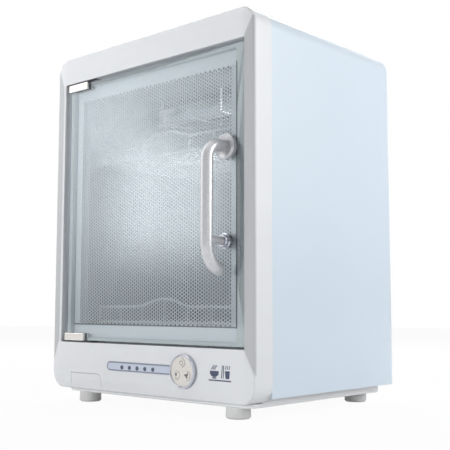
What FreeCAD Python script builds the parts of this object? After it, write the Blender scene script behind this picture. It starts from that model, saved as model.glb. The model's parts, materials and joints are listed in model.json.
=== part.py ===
import FreeCAD, Part
import Sketcher
import math
import os
import re

# Countertop ultraviolet sterilizing and drying cabinet, in millimetres.
# X to the right, Y to the back, Z up. The origin is at the middle of the overall box, on the surface
# that the feet stand on. The front frame's flat front is the plane Y = front_y.

DRIVING_SIZES = (
    # cabinet
    ("width", 382, "front frame, side to side"),
    ("depth", 322, "front frame's front to the back of the wrap"),
    ("front_y", -141.7, "plane of the front frame's flat front"),
    ("frame_low", 20, "lower edge of the front frame"),
    ("frame_top", 500, "upper edge of the front frame"),
    ("frame_depth", 36, "front frame, front to back"),
    ("frame_corner", 22, "front frame's corner radius"),
    ("frame_wall", 3, "front frame's wall"),
    ("pillow_in", 14, "width of the sloping border of the front"),
    ("pillow_back", 2.5, "how far that border slopes back"),
    ("edge_round", 2.4, "rounding of the front frame's outer edge"),
    ("pillow_round", 30, "soft bend between the sloping border and the flat front"),
    ("rim_round", 0.8, "rounding of the door opening's rim and of the hinge clips"),
    ("wrap_step", 1, "front frame proud of the wrap"),
    ("wrap_low", 26, "lower edge of the wrap"),
    ("wrap_sheet", 0.8, "wrap's sheet"),
    ("wrap_corner", 21, "wrap's upper corner radius"),
    ("wrap_rear_round", 20, "rounding of the wrap's rear edges"),
    ("plate_sheet", 1, "bottom plate and rear panel"),
    ("screw_head", 1.4, "height of the rear screws' heads"),
    ("back_half", 160, "half width of the rear panel"),
    ("back_border", 10, "wrap's turned-in border over the rear panel"),
    ("back_top", 470, "upper edge of the rear panel"),
    # base
    ("base_half", 175, "half width of the base tray"),
    ("base_low", 14.5, "underside of the base tray"),
    ("base_front", 15, "base tray's front behind the frame's front"),
    ("base_rear", 303, "base tray's rear behind the frame's front"),
    ("base_wall", 2, "base tray's wall"),
    ("base_round", 14, "base tray's corner radius"),
    ("base_edge", 2, "rounding of the base tray's lower rim"),
    ("foot_radius", 15.5, "foot"),
    ("foot_x", 141, "feet from the middle"),
    ("foot_front", 31.5, "front feet behind the frame's front"),
    ("foot_rear", 287, "rear feet behind the frame's front"),
    ("foot_screw", 2, "foot screw's radius"),
    # door opening and door
    ("open_left", -171, "door opening"),
    ("open_right", 177.5, "door opening"),
    ("open_low", 84.5, "door opening"),
    ("open_top", 460.5, "door opening"),
    ("well_wall", 2.5, "wall of the door well"),
    ("seal_in", 6, "door seal inside the screen's outline"),
    ("seal_gap", 0.4, "between the seal and the closed door"),
    ("well_depth", 18.6, "door well, front to flange"),
    ("glass_set", 3, "glass behind the frame's front"),
    ("glass", 4, "pane"),
    ("glass_corner", 3, "pane's free corners"),
    ("glass_polish", 0.4, "polished bevel round the pane"),
    ("glass_left", -166.5, "pane"),
    ("glass_right", 175.5, "pane"),
    ("glass_low", 86.7, "pane"),
    ("glass_top", 458.3, "pane"),
    ("door_frame_in", 1, "metal frame's outline inside the pane's"),
    ("door_frame_lip", 12, "backing lip behind the screen's border"),
    ("screen_left", -158, "screen"),
    ("screen_right", 158, "screen"),
    ("screen_low", 92, "screen"),
    ("screen_top", 452, "screen"),
    ("latch_left", 160, "strike plate, magnet and door switch"),
    ("latch_right", 171, "strike plate, magnet and door switch"),
    ("door_back", 14, "metal frame's back behind the front frame's front"),
    ("screen_sheet", 1, "screen"),
    ("screen_gap", 0.5, "round the screen in the metal frame"),
    ("screen_lap", 1.5, "backing lip's hold in the metal frame"),
    ("lip_sheet", 1, "backing lip behind the screen"),
    ("hinge_x", -158, "door's pivot line"),
    ("hinge_sheet", 1.5, "hinge pivots' brackets"),
    ("hinge_set", 5, "door's pivot line behind the frame's front"),
    ("pivot_radius", 2, "pivot pins"),
    ("clip_left", -163.5, "hinge clips"),
    ("clip_right", -121, "hinge clips"),
    ("clip_high", 10.5, "hinge clips"),
    ("running", 0.05, "clearance of a pin in its bore"),
    # handle
    ("handle_x", 147, "handle"),
    ("arm_radius", 5, "grip's lower arm"),
    ("grip_radius", 7.5, "grip bar"),
    ("grip_reach", 32.5, "grip bar's centre line in front of the frame"),
    ("rosette_z", 329, "upper rosette"),
    ("rosette_radius", 16, "upper rosette"),
    ("grip_bend", 20, "upper bend of the grip bar"),
    ("tail_top", 208, "where the lower end starts to curve back"),
    ("tail_bend", 31, "curve of the lower end"),
    ("tail_turn", 76, "degrees that the lower end curves"),
    ("grip_end_round", 2, "rounding of the lower end"),
    ("arm_z", 213.5, "lower standoff"),
    # chamber
    ("chamber_x", 3, "middle of the chamber"),
    ("chamber_half", 146, "half width inside"),
    ("chamber_low", 100, "floor inside"),
    ("chamber_top", 444, "ceiling inside"),
    ("chamber_rear", 270, "rear wall behind the frame's front"),
    ("liner_sheet", 0.6, "liner"),
    ("mouth_half", 137.5, "half width of the chamber's mouth"),
    ("mouth_low", 106, "chamber's mouth"),
    ("mouth_top", 436, "chamber's mouth"),
    # racks
    ("rack_half", 133, "half width between the rim wires"),
    ("rack_front", 38, "front rim wire behind the frame's front"),
    ("rack_rear", 258, "rear rim wire behind the frame's front"),
    ("rim_wire", 2, "rim wire's radius"),
    ("floor_wire", 1.4, "floor wires' radius"),
    ("upper_rack_z", 341, "upper rack's rim"),
    ("lower_rack_z", 113.5, "lower rack's rim"),
    ("wave_rise", 21, "guard rail's ends over the rim"),
    ("hump", 10.5, "guard rail's hump"),
    ("hump_half", 58, "half length of the hump"),
    # light
    ("tube_z", 424, "ultraviolet tube"),
    ("tube_y", 150, "ultraviolet tube behind the frame's front"),
    ("tube_radius", 7.8, "ultraviolet tube"),
    ("tube_half", 100, "half length of the tube's glass"),
    # drying
    ("fan_z", 200, "fan's axis"),
    ("fan_half", 40, "half of the fan's side"),
    ("fan_thick", 25, "fan"),
    ("fan_bore", 38.5, "fan's bore radius"),
    ("blade_reach", 37.4, "impeller's radius"),
    ("hub_radius", 17, "impeller's hub"),
    # control panel
    ("panel_z", 55, "control strip and disc"),
    ("disc_x", 79, "control disc"),
    ("ring_radius", 21.3, "chrome ring"),
    ("ring_bore", 18.8, "chrome ring's bore"),
    ("key_radius", 5.5, "keys"),
    ("key_circle", 10.5, "keys from the disc's middle"),
    ("strip_left", -68, "control strip"),
    ("strip_high", 12.4, "control strip"),
    ("lens_pitch", 15, "indicator lenses"),
    ("lens_first", -37, "first indicator lens"),
    ("lens_radius", 2.7, "indicator lens"),
    ("board_rise", 6, "power board over the bottom plate"),
    ("board_set", 14, "control board behind the frame's front"),
    # drip drawer
    ("hatch_left", -146, "drip drawer's front"),
    ("hatch_right", -82, "drip drawer's front"),
    ("hatch_top", 42, "drip drawer's front"),
    ("hatch_round", 6, "drip drawer's upper right corner"),
    ("hatch_gap", 0.5, "round the drip drawer's front"),
    ("drawer_depth", 120, "drip drawer, front to back"),
    ("drawer_low", 28.6, "drip tray's underside"),
    ("drawer_high", 40, "drip tray's rim"),
    ("drawer_wall", 2, "drip tray's wall"),
    # power
    ("inlet_x", 124, "power inlet"),
    ("inlet_z", 54, "power inlet"),
)

doc = FreeCAD.newDocument("sterilizer_cabinet")
sizes = doc.addObject("Spreadsheet::Sheet", "sizes")
for row, (alias, value, note) in enumerate(DRIVING_SIZES, start=1):
    sizes.set(f"A{row}", note)
    sizes.set(f"B{row}", str(value))
    sizes.setAlias(f"B{row}", alias)
doc.recompute()

ALIASES = {alias for alias, value, note in DRIVING_SIZES}
NODES = []
DEEP = FreeCAD.Vector(0, 1, 0)
UPRIGHT = FreeCAD.Vector(0, 0, 1)

# places that several nodes share, as formulas
LINER_BACK = "chamber_rear + liner_sheet"
WALL_LEFT = "chamber_x - chamber_half"
WALL_RIGHT = "chamber_x + chamber_half"
LATCH_X = ("latch_left", "latch_right")
MAGNET_Z = ("rosette_z - 67", "rosette_z - 37")
SWITCH_Z = ("rosette_z - 30", "rosette_z - 12")
DRAIN_X = "(hatch_left + hatch_right) / 2"
DRAIN_Y = 62
FAN_REAR = "depth - wrap_sheet - plate_sheet"
FAN_FRONT = FAN_REAR + " - fan_thick"
KEY_TURNS = (("power_key", 90), ("drying_key", 210), ("warming_key", 330))

# repeats and small sizes, in millimetres
PAST = 5                    # a cutting block's reach past what it cuts
VENT_PITCH = 8
VENT_SLOT = 4
VENT_HALF = 32
GRILLE_SLOTS = 8
SCREW_HOLE = 1.9
SCREW_SHANK = 1.7
SCREW_HEAD = 3.4
SCREW_LONG = 8
BOLT_SHANK = 2.5
BOLT_HEAD = 5
BOLT_HEAD_HIGH = 3
DRAIN_BORE = 3.5
DRAIN_WALL = 1.5
SWITCH_DEEP = 9
FLOOR_GAPS = 20
GUARD_GAPS = 6
GUARD_WIRE = 1.1
WELD_BEAD = 0.2
GUARD_REACH = 33
GUARD_DROP = 13
BLADES = 7
BLADE_SHEET = 1.6
BLADE_PITCH_ANGLE = 38
BLADE_WIDE = 20
SHAFT = 1.5
HEATER_HALF = 36
HEATER_HIGH = 34
HEATER_DEEP = 13
HEATER_RIM = 4
HEATER_GAPS = 6
HEATER_FIN_PITCH = 11
HEATER_FIN_GAP = 9
BOARD_SHEET = 1.6
BOARD_HALF = 21
KEY_STEM = 2.5
SWITCH_BODY = 3.2
SWITCH_PLUNGER = 1.6
INLET_HALF = 14
INLET_HIGH = 10
INLET_RIM = 3
INLET_WALL = 3.5
TURNS = {
    "x": FreeCAD.Rotation(FreeCAD.Vector(0, 1, 0), 90),
    "y": FreeCAD.Rotation(FreeCAD.Vector(1, 0, 0), -90),
    "z": FreeCAD.Rotation(),
}


# ---- helpers: every size is a formula on the sheet's cells ----

def formula(text):
    return re.sub(r"[a-z_]+", lambda word: "sizes." + word[0] if word[0] in ALIASES else word[0], str(text))


def size(alias):
    return float(sizes.get(alias))


def bind(item, formulas):
    for prop, text in formulas.items():
        item.setExpression(prop, formula(text))
    return item


def place(item, x=0, y=0, z=0):
    return bind(item, {"Placement.Base.x": x, "Placement.Base.y": y, "Placement.Base.z": z})


def node(label, item):
    item.Label = label
    NODES.append(item)
    return item


def behind(distance):
    """Y of a plane at this distance behind the front frame's front."""
    return f"front_y + ({distance})"


def box(name, x, y, z):
    """Block between pairs of planes: each of x, y and z is (low, high)."""
    item = doc.addObject("Part::Box", name)
    bind(item, {
        "Length": f"({x[1]}) - ({x[0]})",
        "Width": f"({y[1]}) - ({y[0]})",
        "Height": f"({z[1]}) - ({z[0]})",
    })
    return place(item, x[0], y[0], z[0])


def rod(name, axis, radius, span, **across):
    """Round bar along an axis between the two ends in span."""
    item = doc.addObject("Part::Cylinder", name)
    item.Placement.Rotation = TURNS[axis]
    bind(item, {"Radius": radius, "Height": f"({span[1]}) - ({span[0]})"})
    return place(item, **{axis: span[0]}, **across)


def ball(name, radius, x, y, z):
    item = doc.addObject("Part::Sphere", name)
    bind(item, {"Radius": radius})
    return place(item, x, y, z)


def fuse(name, *parts):
    item = doc.addObject("Part::MultiFuse", name)
    item.Shapes = list(parts)
    return item


def group(name, *parts):
    item = doc.addObject("Part::Compound", name)
    item.Links = list(parts)
    return item


def cut(name, base, *tools):
    item = doc.addObject("Part::Cut", name)
    item.Base = base
    item.Tool = tools[0] if len(tools) == 1 else fuse(name + "_tools", *tools)
    return item


def common(name, first, second):
    item = doc.addObject("Part::Common", name)
    item.Base = first
    item.Tool = second
    return item


def body(name, x=0, y=0, z=0):
    return place(doc.addObject("PartDesign::Body", name), x, y, z)


def origin_part(owner, role):
    return next(item for item in owner.Origin.OriginFeatures if item.Role == role)


def outline(owner, name, plane, points, lift=0):
    """Closed sketch with straight sides; each corner is a pair of formulas from the origin."""
    sketch = owner.newObject("Sketcher::SketchObject", name)
    sketch.AttachmentSupport = [(origin_part(owner, plane), "")]
    sketch.MapMode = "FlatFace"
    sketch.setExpression("AttachmentOffset.Base.z", formula(lift))
    count = len(points)
    rough = []
    for index in range(count):
        angle = 2 * math.pi * index / count
        rough.append(FreeCAD.Vector(50 * math.cos(angle), 50 * math.sin(angle), 0))
    for index in range(count):
        sketch.addGeometry(Part.LineSegment(rough[index], rough[(index + 1) % count]), False)
    for index in range(count):
        sketch.addConstraint(Sketcher.Constraint("Coincident", index, 2, (index + 1) % count, 1))
    for index, (across, up) in enumerate(points):
        for kind, text in (("DistanceX", across), ("DistanceY", up)):
            number = sketch.addConstraint(Sketcher.Constraint(kind, -1, 1, index, 1, 10))
            sketch.renameConstraint(number, f"corner{index}_{kind}")
            sketch.setExpression(f"Constraints.corner{index}_{kind}", formula(text))
    return sketch


def rectangle(owner, name, plane, across, up, lift=0):
    corners = [(across[0], up[0]), (across[1], up[0]), (across[1], up[1]), (across[0], up[1])]
    return outline(owner, name, plane, corners, lift)


def feature(owner, kind, name, sketch, **settings):
    item = owner.newObject("PartDesign::" + kind, name)
    item.Profile = sketch
    for prop, value in settings.items():
        if isinstance(value, str) and prop == "Length":
            item.setExpression(prop, formula(value))
        else:
            setattr(item, prop, value)
    return item


def edges(shape, keep):
    return [f"Edge{index}" for index, edge in enumerate(shape.Edges, start=1) if keep(edge)]


def along(edge, direction):
    if not isinstance(edge.Curve, Part.Line):
        return False
    return abs(abs(edge.Curve.Direction.dot(direction)) - 1) < 1e-6


def dress(owner, kind, name, base, keep, formulas):
    """Fillet or chamfer on the edges of base that keep() accepts."""
    doc.recompute()
    item = owner.newObject("PartDesign::" + kind, name)
    item.Base = (base, edges(base.Shape, keep))
    return bind(item, formulas)


def soften(name, item, keep, radius):
    """Rounds the edges of a finished solid that keep picks."""
    doc.recompute()
    rounded = doc.addObject("Part::Fillet", name)
    rounded.Base = item
    rounded.Edges = [(index, size(radius), size(radius))
                     for index, edge in enumerate(item.Shape.Edges, 1) if keep(edge)]
    return rounded


# ---- housing ----

def frame_form():
    """Front frame's outside: rounded block whose border slopes back like a pillow."""
    form = body("frame_form", y="front_y")
    front = rectangle(form, "frame_front", "XZ_Plane", ("-width / 2", "width / 2"),
                      ("frame_low", "frame_top"))
    block = feature(form, "Pad", "frame_block", front, Length="frame_depth", Reversed=True)
    corners = dress(form, "Fillet", "frame_corners", block, lambda edge: along(edge, DEEP),
                    {"Radius": "frame_corner"})
    pillow = dress(form, "Chamfer", "frame_pillow", corners, lambda edge: edge.BoundBox.YMax < 0.01,
                   {"Size": "pillow_back", "Size2": "pillow_in"})
    pillow.ChamferType = "Two distances"
    doc.recompute()
    slope_start = size("pillow_back")
    if not edges(pillow.Shape, lambda edge: abs(edge.BoundBox.YMin - slope_start) < 0.01):
        pillow.FlipDirection = True
        doc.recompute()

    def outer(edge):
        return abs(edge.BoundBox.YMin - slope_start) < 0.01 and abs(edge.BoundBox.YMax - slope_start) < 0.01

    rounded = dress(form, "Fillet", "frame_edge", pillow, outer, {"Radius": "edge_round"})
    dress(form, "Fillet", "frame_bend", rounded, lambda edge: edge.BoundBox.YMax < 0.01,
          {"Radius": "pillow_round"})
    return form


def frame_hollow():
    """Space behind the front frame's face, inside its outer wall."""
    hollow = body("frame_hollow", y="front_y")
    half = "(width / 2 - frame_wall)"
    rear = rectangle(hollow, "hollow_outline", "XZ_Plane", (f"-{half}", half),
                     ("frame_low + frame_wall", "frame_top - frame_wall"), "-(frame_wall + pillow_back)")
    block = feature(hollow, "Pad", "hollow_block", rear, Length="frame_depth", Reversed=True)
    dress(hollow, "Fillet", "hollow_corners", block, lambda edge: along(edge, DEEP),
          {"Radius": "frame_corner - frame_wall"})
    return hollow


def strip_form(name, grow, y):
    """Pill-shaped slab from its round left end to the middle of the control disc."""
    high = f"(strip_high / 2 + {grow})"
    start = "strip_left + strip_high / 2"
    bar = box(name + "_bar", (start, "disc_x"), y, (f"panel_z - {high}", f"panel_z + {high}"))
    end = rod(name + "_end", "y", high, y, x=start, z="panel_z")
    return fuse(name, bar, end)


def lens_rods(name, grow, y):
    """Five round bars along Y in a row, where the indicator lenses are."""
    return [rod(f"{name}_{index}", "y", f"lens_radius + {grow}", y, x=f"lens_first + {index} * lens_pitch",
                z="panel_z - 1") for index in range(5)]


def hatch_form(name, grow, deep):
    """Block the size of the drip drawer's front, with one rounded corner, larger all round by grow."""
    form = body(name, y="front_y")
    sketch = rectangle(form, name + "_outline", "XZ_Plane", (f"hatch_left - {grow}", f"hatch_right + {grow}"),
                       ("frame_low - 3", f"hatch_top + {grow}"), 1)
    pad = feature(form, "Pad", name + "_pad", sketch, Length=f"{deep} + 1", Reversed=True)

    def inner_corner(edge):
        middle = edge.CenterOfMass
        return along(edge, DEEP) and middle.x > size("hatch_left") + 10 and middle.z > size("frame_low")

    dress(form, "Fillet", name + "_corner", pad, inner_corner, {"Radius": f"hatch_round + {grow}"})
    return form


def build_front_bezel(form):
    channel = cut("frame_channel", frame_hollow(),
                  box("door_well", ("open_left - well_wall", "open_right + well_wall"),
                      (behind(0), behind("well_depth")), ("open_low - well_wall", "open_top + well_wall")))
    through = (behind(-5), behind(60))
    face = (behind(-5), behind(20))
    opening = box("door_opening", ("open_left", "open_right"), through, ("open_low", "open_top"))
    strip_seat = strip_form("strip_seat", 0.2, (behind(-5), behind(1.4)))
    disc_hole = rod("disc_hole", "y", 18, face, x="disc_x", z="panel_z")
    disc_seat = rod("disc_seat", "y", "ring_radius + 0.2", (behind(-5), behind(1.4)), x="disc_x", z="panel_z")
    hatch_hole = hatch_form("hatch_hole", "hatch_gap", 6)
    pivot_spans = (("low", ("open_low - 9", "open_low + 1")), ("top", ("open_top - 1", "open_top + 9")))
    pivot_holes = [rod(f"pivot_hole_{end}", "z", "pivot_radius + 0.2", span,
                       x="hinge_x", y=behind("hinge_set")) for end, span in pivot_spans]
    shell = cut("frame_shell", form, channel, opening, strip_seat, disc_hole, disc_seat, hatch_hole,
                *lens_rods("lens_hole", 0.3, face), *pivot_holes)
    posts = [rod(f"board_post_{side}_{level}", "y", 3, (behind("frame_wall"), behind("board_set")), x=x, z=z)
             for side, x in (("left", "strip_left + 13"), ("right", "disc_x + 22"))
             for level, z in (("low", "panel_z - 17"), ("high", "panel_z + 17"))]
    front = size("front_y")

    def rim(edge):
        bounds = edge.BoundBox
        inside = bounds.XMin > size("open_left") - 1 and bounds.ZMin > size("open_low") - 1
        return inside and abs(bounds.YMin - front) < 0.01 and abs(bounds.YMax - front) < 0.01

    node("front_bezel", soften("frame_rim", fuse("frame_with_posts", shell, *posts), rim, "rim_round"))


def wrap_form(name, inset):
    """Bent sheet's outline, smaller all round by inset."""
    form = body(name, y=behind("frame_depth"))
    half = f"(width / 2 - wrap_step - {inset})"
    front = rectangle(form, name + "_front", "XZ_Plane", (f"-{half}", half),
                      (f"wrap_low - {inset} * 5", f"frame_top - wrap_step - {inset}"), f"{inset} * 5")
    block = feature(form, "Pad", name + "_block", front,
                    Length=f"depth - frame_depth + {inset} * 4", Reversed=True)
    corners = dress(form, "Fillet", name + "_corners", block,
                    lambda edge: along(edge, DEEP) and edge.CenterOfMass.z > size("frame_top") / 2,
                    {"Radius": f"wrap_corner - {inset}"})
    doc.recompute()
    rear = corners.Shape.BoundBox.YMax

    def back_rim(edge):
        return edge.BoundBox.YMin > rear - 0.01 and edge.CenterOfMass.z > 100

    dress(form, "Fillet", name + "_rear", corners, back_rim, {"Radius": f"wrap_rear_round - {inset}"})
    return form


def back_screw_places():
    return [(f"back_screw_{side}_{level}", x, z)
            for side, x in (("left", "-back_half + 5"), ("right", "back_half - 5"))
            for level, z in (("low", "wrap_low + 34"), ("middle", "fan_z + 50"), ("high", "back_top - 30"))]


def build_shell_and_back():
    through = (behind("depth - 20"), behind(f"depth + {PAST}"))
    window = box("back_window", ("-back_half + back_border", "back_half - back_border"), through,
                 ("wrap_low - 20", "back_top - back_border"))
    holes = [rod(name + "_hole", "y", SCREW_HOLE, through, x=x, z=z) for name, x, z in back_screw_places()]
    shell = cut("outer_shell_cut", wrap_form("wrap_outside", "0"), wrap_form("wrap_inside", "wrap_sheet"),
                window, *holes)
    edge = "(width / 2 - wrap_step - wrap_sheet / 2)"
    flanges = [box(f"wrap_flange_{side}", x, (behind("frame_depth"), behind("frame_depth + wrap_sheet")),
                   ("wrap_low + plate_sheet + 0.1", "wrap_low + frame_corner"))
               for side, x in (("left", (f"-{edge}", f"-{edge} + frame_corner")),
                               ("right", (f"{edge} - frame_corner", edge)))]
    node("outer_shell", fuse("outer_shell_form", shell, *flanges))

    panel = body("back_sheet", y=behind("depth - wrap_sheet - plate_sheet"))
    outline_sketch = rectangle(panel, "back_outline", "XZ_Plane", ("-back_half", "back_half"),
                               ("wrap_low + plate_sheet + 0.5", "back_top"))
    feature(panel, "Pad", "back_pad", outline_sketch, Length="plate_sheet", Reversed=True)
    for name, low, count in (("intake", "fan_z - 34", 9), ("exhaust", "back_top - 58", 5)):
        slot = rectangle(panel, name + "_slot", "XZ_Plane",
                         (f"chamber_x - {VENT_HALF}", f"chamber_x + {VENT_HALF}"),
                         (low, f"{low} + {VENT_SLOT}"))
        pocket = feature(panel, "Pocket", name + "_pocket", slot, Type="ThroughAll", Midplane=True)
        rows = panel.newObject("PartDesign::LinearPattern", name + "_rows")
        rows.Originals = [pocket]
        rows.Direction = (origin_part(panel, "Z_Axis"), [""])
        rows.Length = VENT_PITCH * (count - 1)
        rows.Occurrences = count
        panel.Tip = rows
    cutout = rectangle(panel, "inlet_cutout", "XZ_Plane",
                       (f"inlet_x - {INLET_HALF} - 0.2", f"inlet_x + {INLET_HALF} + 0.2"),
                       (f"inlet_z - {INLET_HIGH} - 0.2", f"inlet_z + {INLET_HIGH} + 0.2"))
    feature(panel, "Pocket", "inlet_pocket", cutout, Type="ThroughAll", Midplane=True)
    panel_holes = [rod(name + "_way", "y", SCREW_HOLE, through, x=x, z=z)
                   for name, x, z in back_screw_places()]
    node("rear_panel", cut("rear_panel_cut", panel, *panel_holes))

    screws = []
    for name, x, z in back_screw_places():
        head = rod(name + "_head", "y", SCREW_HEAD, (behind("depth"), behind("depth + screw_head")), x=x, z=z)
        shank = rod(name + "_shank", "y", SCREW_SHANK, (behind(f"depth - {SCREW_LONG}"), behind("depth")),
                    x=x, z=z)
        screws.append(fuse(name, head, shank))
    node("rear_panel_screws", group("back_screw_group", *screws))


def build_bottom_plate():
    plate = body("bottom_plate", y=behind("frame_depth"), z="wrap_low")
    half = "(width / 2 - wrap_step - wrap_sheet - 0.1)"
    sketch = rectangle(plate, "plate_outline", "XY_Plane", (f"-{half}", half),
                       (0, "depth - frame_depth - wrap_sheet - plate_sheet - 0.1"))
    pad = feature(plate, "Pad", "plate_pad", sketch, Length="plate_sheet")
    dress(plate, "Fillet", "plate_corners", pad,
          lambda edge: along(edge, UPRIGHT) and edge.CenterOfMass.y > size("depth") / 2,
          {"Radius": "wrap_rear_round - wrap_sheet"})
    node("bottom_plate", plate)


def base_form(name, inset, low, step):
    """Base tray's block: shallow under the front frame, full height under the bottom plate."""
    form = body(name, y="front_y", z=low)
    half = f"(base_half - {inset})"
    ends = (f"base_front + {inset}", f"base_rear - {inset}")
    floor = rectangle(form, name + "_floor", "XY_Plane", (f"-{half}", half), ends)
    feature(form, "Pad", name + "_first", floor, Length=step)
    upper = rectangle(form, name + "_upper", "XY_Plane", (f"-{half}", half),
                      (f"frame_depth + 0.3 + {inset}", ends[1]))
    second = feature(form, "Pad", name + "_second", upper, Length="wrap_low - base_low")
    front = size("base_front") + 4
    rear = size("base_rear") - 4
    dress(form, "Fillet", name + "_corners", second,
          lambda edge: along(edge, UPRIGHT) and not front < edge.CenterOfMass.y < rear,
          {"Radius": f"base_round - {inset}"})
    return form


def build_base():
    places = [(f"foot_{end}_{side}", sign + "foot_x", behind(row))
              for end, row in (("front", "foot_front"), ("rear", "foot_rear"))
              for side, sign in (("left", "-"), ("right", ""))]
    bores = [rod(f"{name}_bore", "z", "foot_screw + 0.2", ("base_low - 1", "base_low + 4.6"), x=x, y=y)
             for name, x, y in places]
    under_frame = "frame_low - base_low - 0.4"
    outside = base_form("base_outside", "0", "base_low", under_frame)
    inside = base_form("base_inside", "base_wall", "base_low + base_wall", f"{under_frame} - 2 * base_wall")
    tray = cut("base_tray_cut", outside, inside, *bores)
    low = size("base_low")

    def lower_rim(edge):
        bounds = edge.BoundBox
        return bounds.ZMax < low + 0.01 and edge.Length > 16

    node("base_tray", soften("base_tray_round", tray, lower_rim, "base_edge"))

    screws = []
    for name, x, y in places:
        foot = body(name, x=x, y=y)
        section = outline(foot, name + "_section", "XZ_Plane", [
            ("foot_screw + 0.2", 4), (5, 4), (5, 0), ("foot_radius - 2", 0), ("foot_radius", 2),
            ("foot_radius - 0.6", "base_low"), ("foot_screw + 0.2", "base_low")])
        turned = feature(foot, "Revolution", name + "_turned", section, Angle=360)
        turned.ReferenceAxis = (origin_part(foot, "Z_Axis"), [""])
        node(name, foot)
        head = rod(name + "_screw_head", "z", 4.2, (1.6, 4), x=x, y=y)
        shank = rod(name + "_screw_shank", "z", "foot_screw", (4, "base_low + 4.2"), x=x, y=y)
        screws.append(fuse(name + "_screw", head, shank))
    node("foot_screws", group("foot_screw_group", *screws))


# ---- door ----

def handle_bores(name, radius, y):
    """Round bars along Y through the handle's two fixing points."""
    return [rod(f"{name}_{end}", "y", radius, y, x="handle_x", z=z) for end, z in (("upper", "rosette_z"),
                                                                                   ("lower", "arm_z"))]


def door_corners(name, right, high, y):
    """Blocks over the pane's two hinge corners."""
    x = ("glass_left - 2", right)
    return [box(name + "_upper", x, y, (f"glass_top - {high}", "glass_top + 2")),
            box(name + "_lower", x, y, ("glass_low - 2", f"glass_low + {high}"))]


def build_pane():
    pane = body("pane", y=behind("glass_set"))
    sheet = rectangle(pane, "pane_outline", "XZ_Plane", ("glass_left", "glass_right"),
                      ("glass_low", "glass_top"))
    pad = feature(pane, "Pad", "pane_pad", sheet, Length="glass", Reversed=True)
    corners = dress(pane, "Fillet", "pane_corners", pad,
                    lambda edge: along(edge, DEEP) and edge.CenterOfMass.x > 0, {"Radius": "glass_corner"})
    dress(pane, "Chamfer", "pane_polish", corners, lambda edge: not along(edge, DEEP),
          {"Size": "glass_polish"})
    through = (behind(-PAST), behind(30))
    node("door_glass", cut("pane_cut", pane,
                           *door_corners("pane_notch", "hinge_x + 7", "(clip_high + 0.5)", through),
                           *handle_bores("pane_hole", 4, through)))


def screen_block(name, grow, y):
    """Block the size of the screen, larger all round by grow."""
    return box(name, (f"screen_left - {grow}", f"screen_right + {grow}"), y,
               (f"screen_low - {grow}", f"screen_top + {grow}"))


def build_door_frame():
    """Metal frame glued behind the pane, with a lip that the screen lies on."""
    through = (behind(-PAST), behind(30))
    ring = box("door_frame_block", ("glass_left + door_frame_in", "glass_right - door_frame_in / 2"),
               (behind("glass_set + glass"), behind("door_back")),
               ("glass_low + door_frame_in / 2", "glass_top - door_frame_in / 2"))
    well = screen_block("door_frame_well", "screen_gap", through)
    lip = screen_block("door_lip_block", "screen_lap", (behind("door_back"), behind("door_back + lip_sheet")))
    window = screen_block("door_lip_window", "(-door_frame_lip)", through)
    notches = door_corners("door_frame_notch", "clip_right + 0.5", "(clip_high + 0.5)", through)
    node("door_frame", fuse("door_frame_form", cut("door_frame_ring", ring, well, *notches),
                            cut("door_frame_lip", lip, window)))
    node("door_screen", screen_block("screen_plate", 0, (behind("door_back - screen_sheet"),
                                                         behind("door_back"))))
    node("strike_plate", box("strike_block", LATCH_X, (behind("door_back"), behind("door_back + 1.2")),
                             MAGNET_Z))


def build_hinges():
    slot_y = (behind("glass_set"), behind("glass_set + glass"))
    for end, edge, inward, frame_edge, outward in (("top", "glass_top", -1, "open_top", 1),
                                                   ("bottom", "glass_low", 1, "open_low", -1)):
        levels = [edge, f"{edge} + ({inward}) * clip_high"]
        far_levels = [f"{edge} - ({inward}) * 1", f"{edge} + ({inward}) * 9"]
        pin_levels = [f"{edge} + ({inward}) * 8", f"{frame_edge} + ({outward}) * 7"]
        bracket_levels = [f"{frame_edge} - ({outward}) * hinge_sheet", frame_edge]
        if inward < 0:
            levels.reverse()
            far_levels.reverse()
        else:
            pin_levels.reverse()
            bracket_levels.reverse()
        clip = box(f"clip_block_{end}", ("clip_left", "clip_right"), (behind(0), behind(10)), levels)
        block = soften(f"clip_round_{end}", clip, lambda edge: True, "rim_round")
        slot = box(f"clip_slot_{end}", ("hinge_x + 6.5", f"clip_right + {PAST}"), slot_y,
                   (f"glass_low - {PAST}", f"glass_top + {PAST}"))
        bore = rod(f"clip_bore_{end}", "z", "pivot_radius + running", far_levels,
                   x="hinge_x", y=behind("hinge_set"))
        node(f"hinge_clip_{end}", cut(f"clip_{end}", block, slot, bore))
        bracket = box(f"bracket_{end}", ("open_left + 2", "clip_right + 16"),
                      (behind("hinge_sheet"), behind(13)), bracket_levels)
        pin = rod(f"pin_{end}", "z", "pivot_radius", pin_levels, x="hinge_x", y=behind("hinge_set"))
        node(f"hinge_pivot_{end}", fuse(f"pivot_{end}", bracket, pin))


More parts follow.
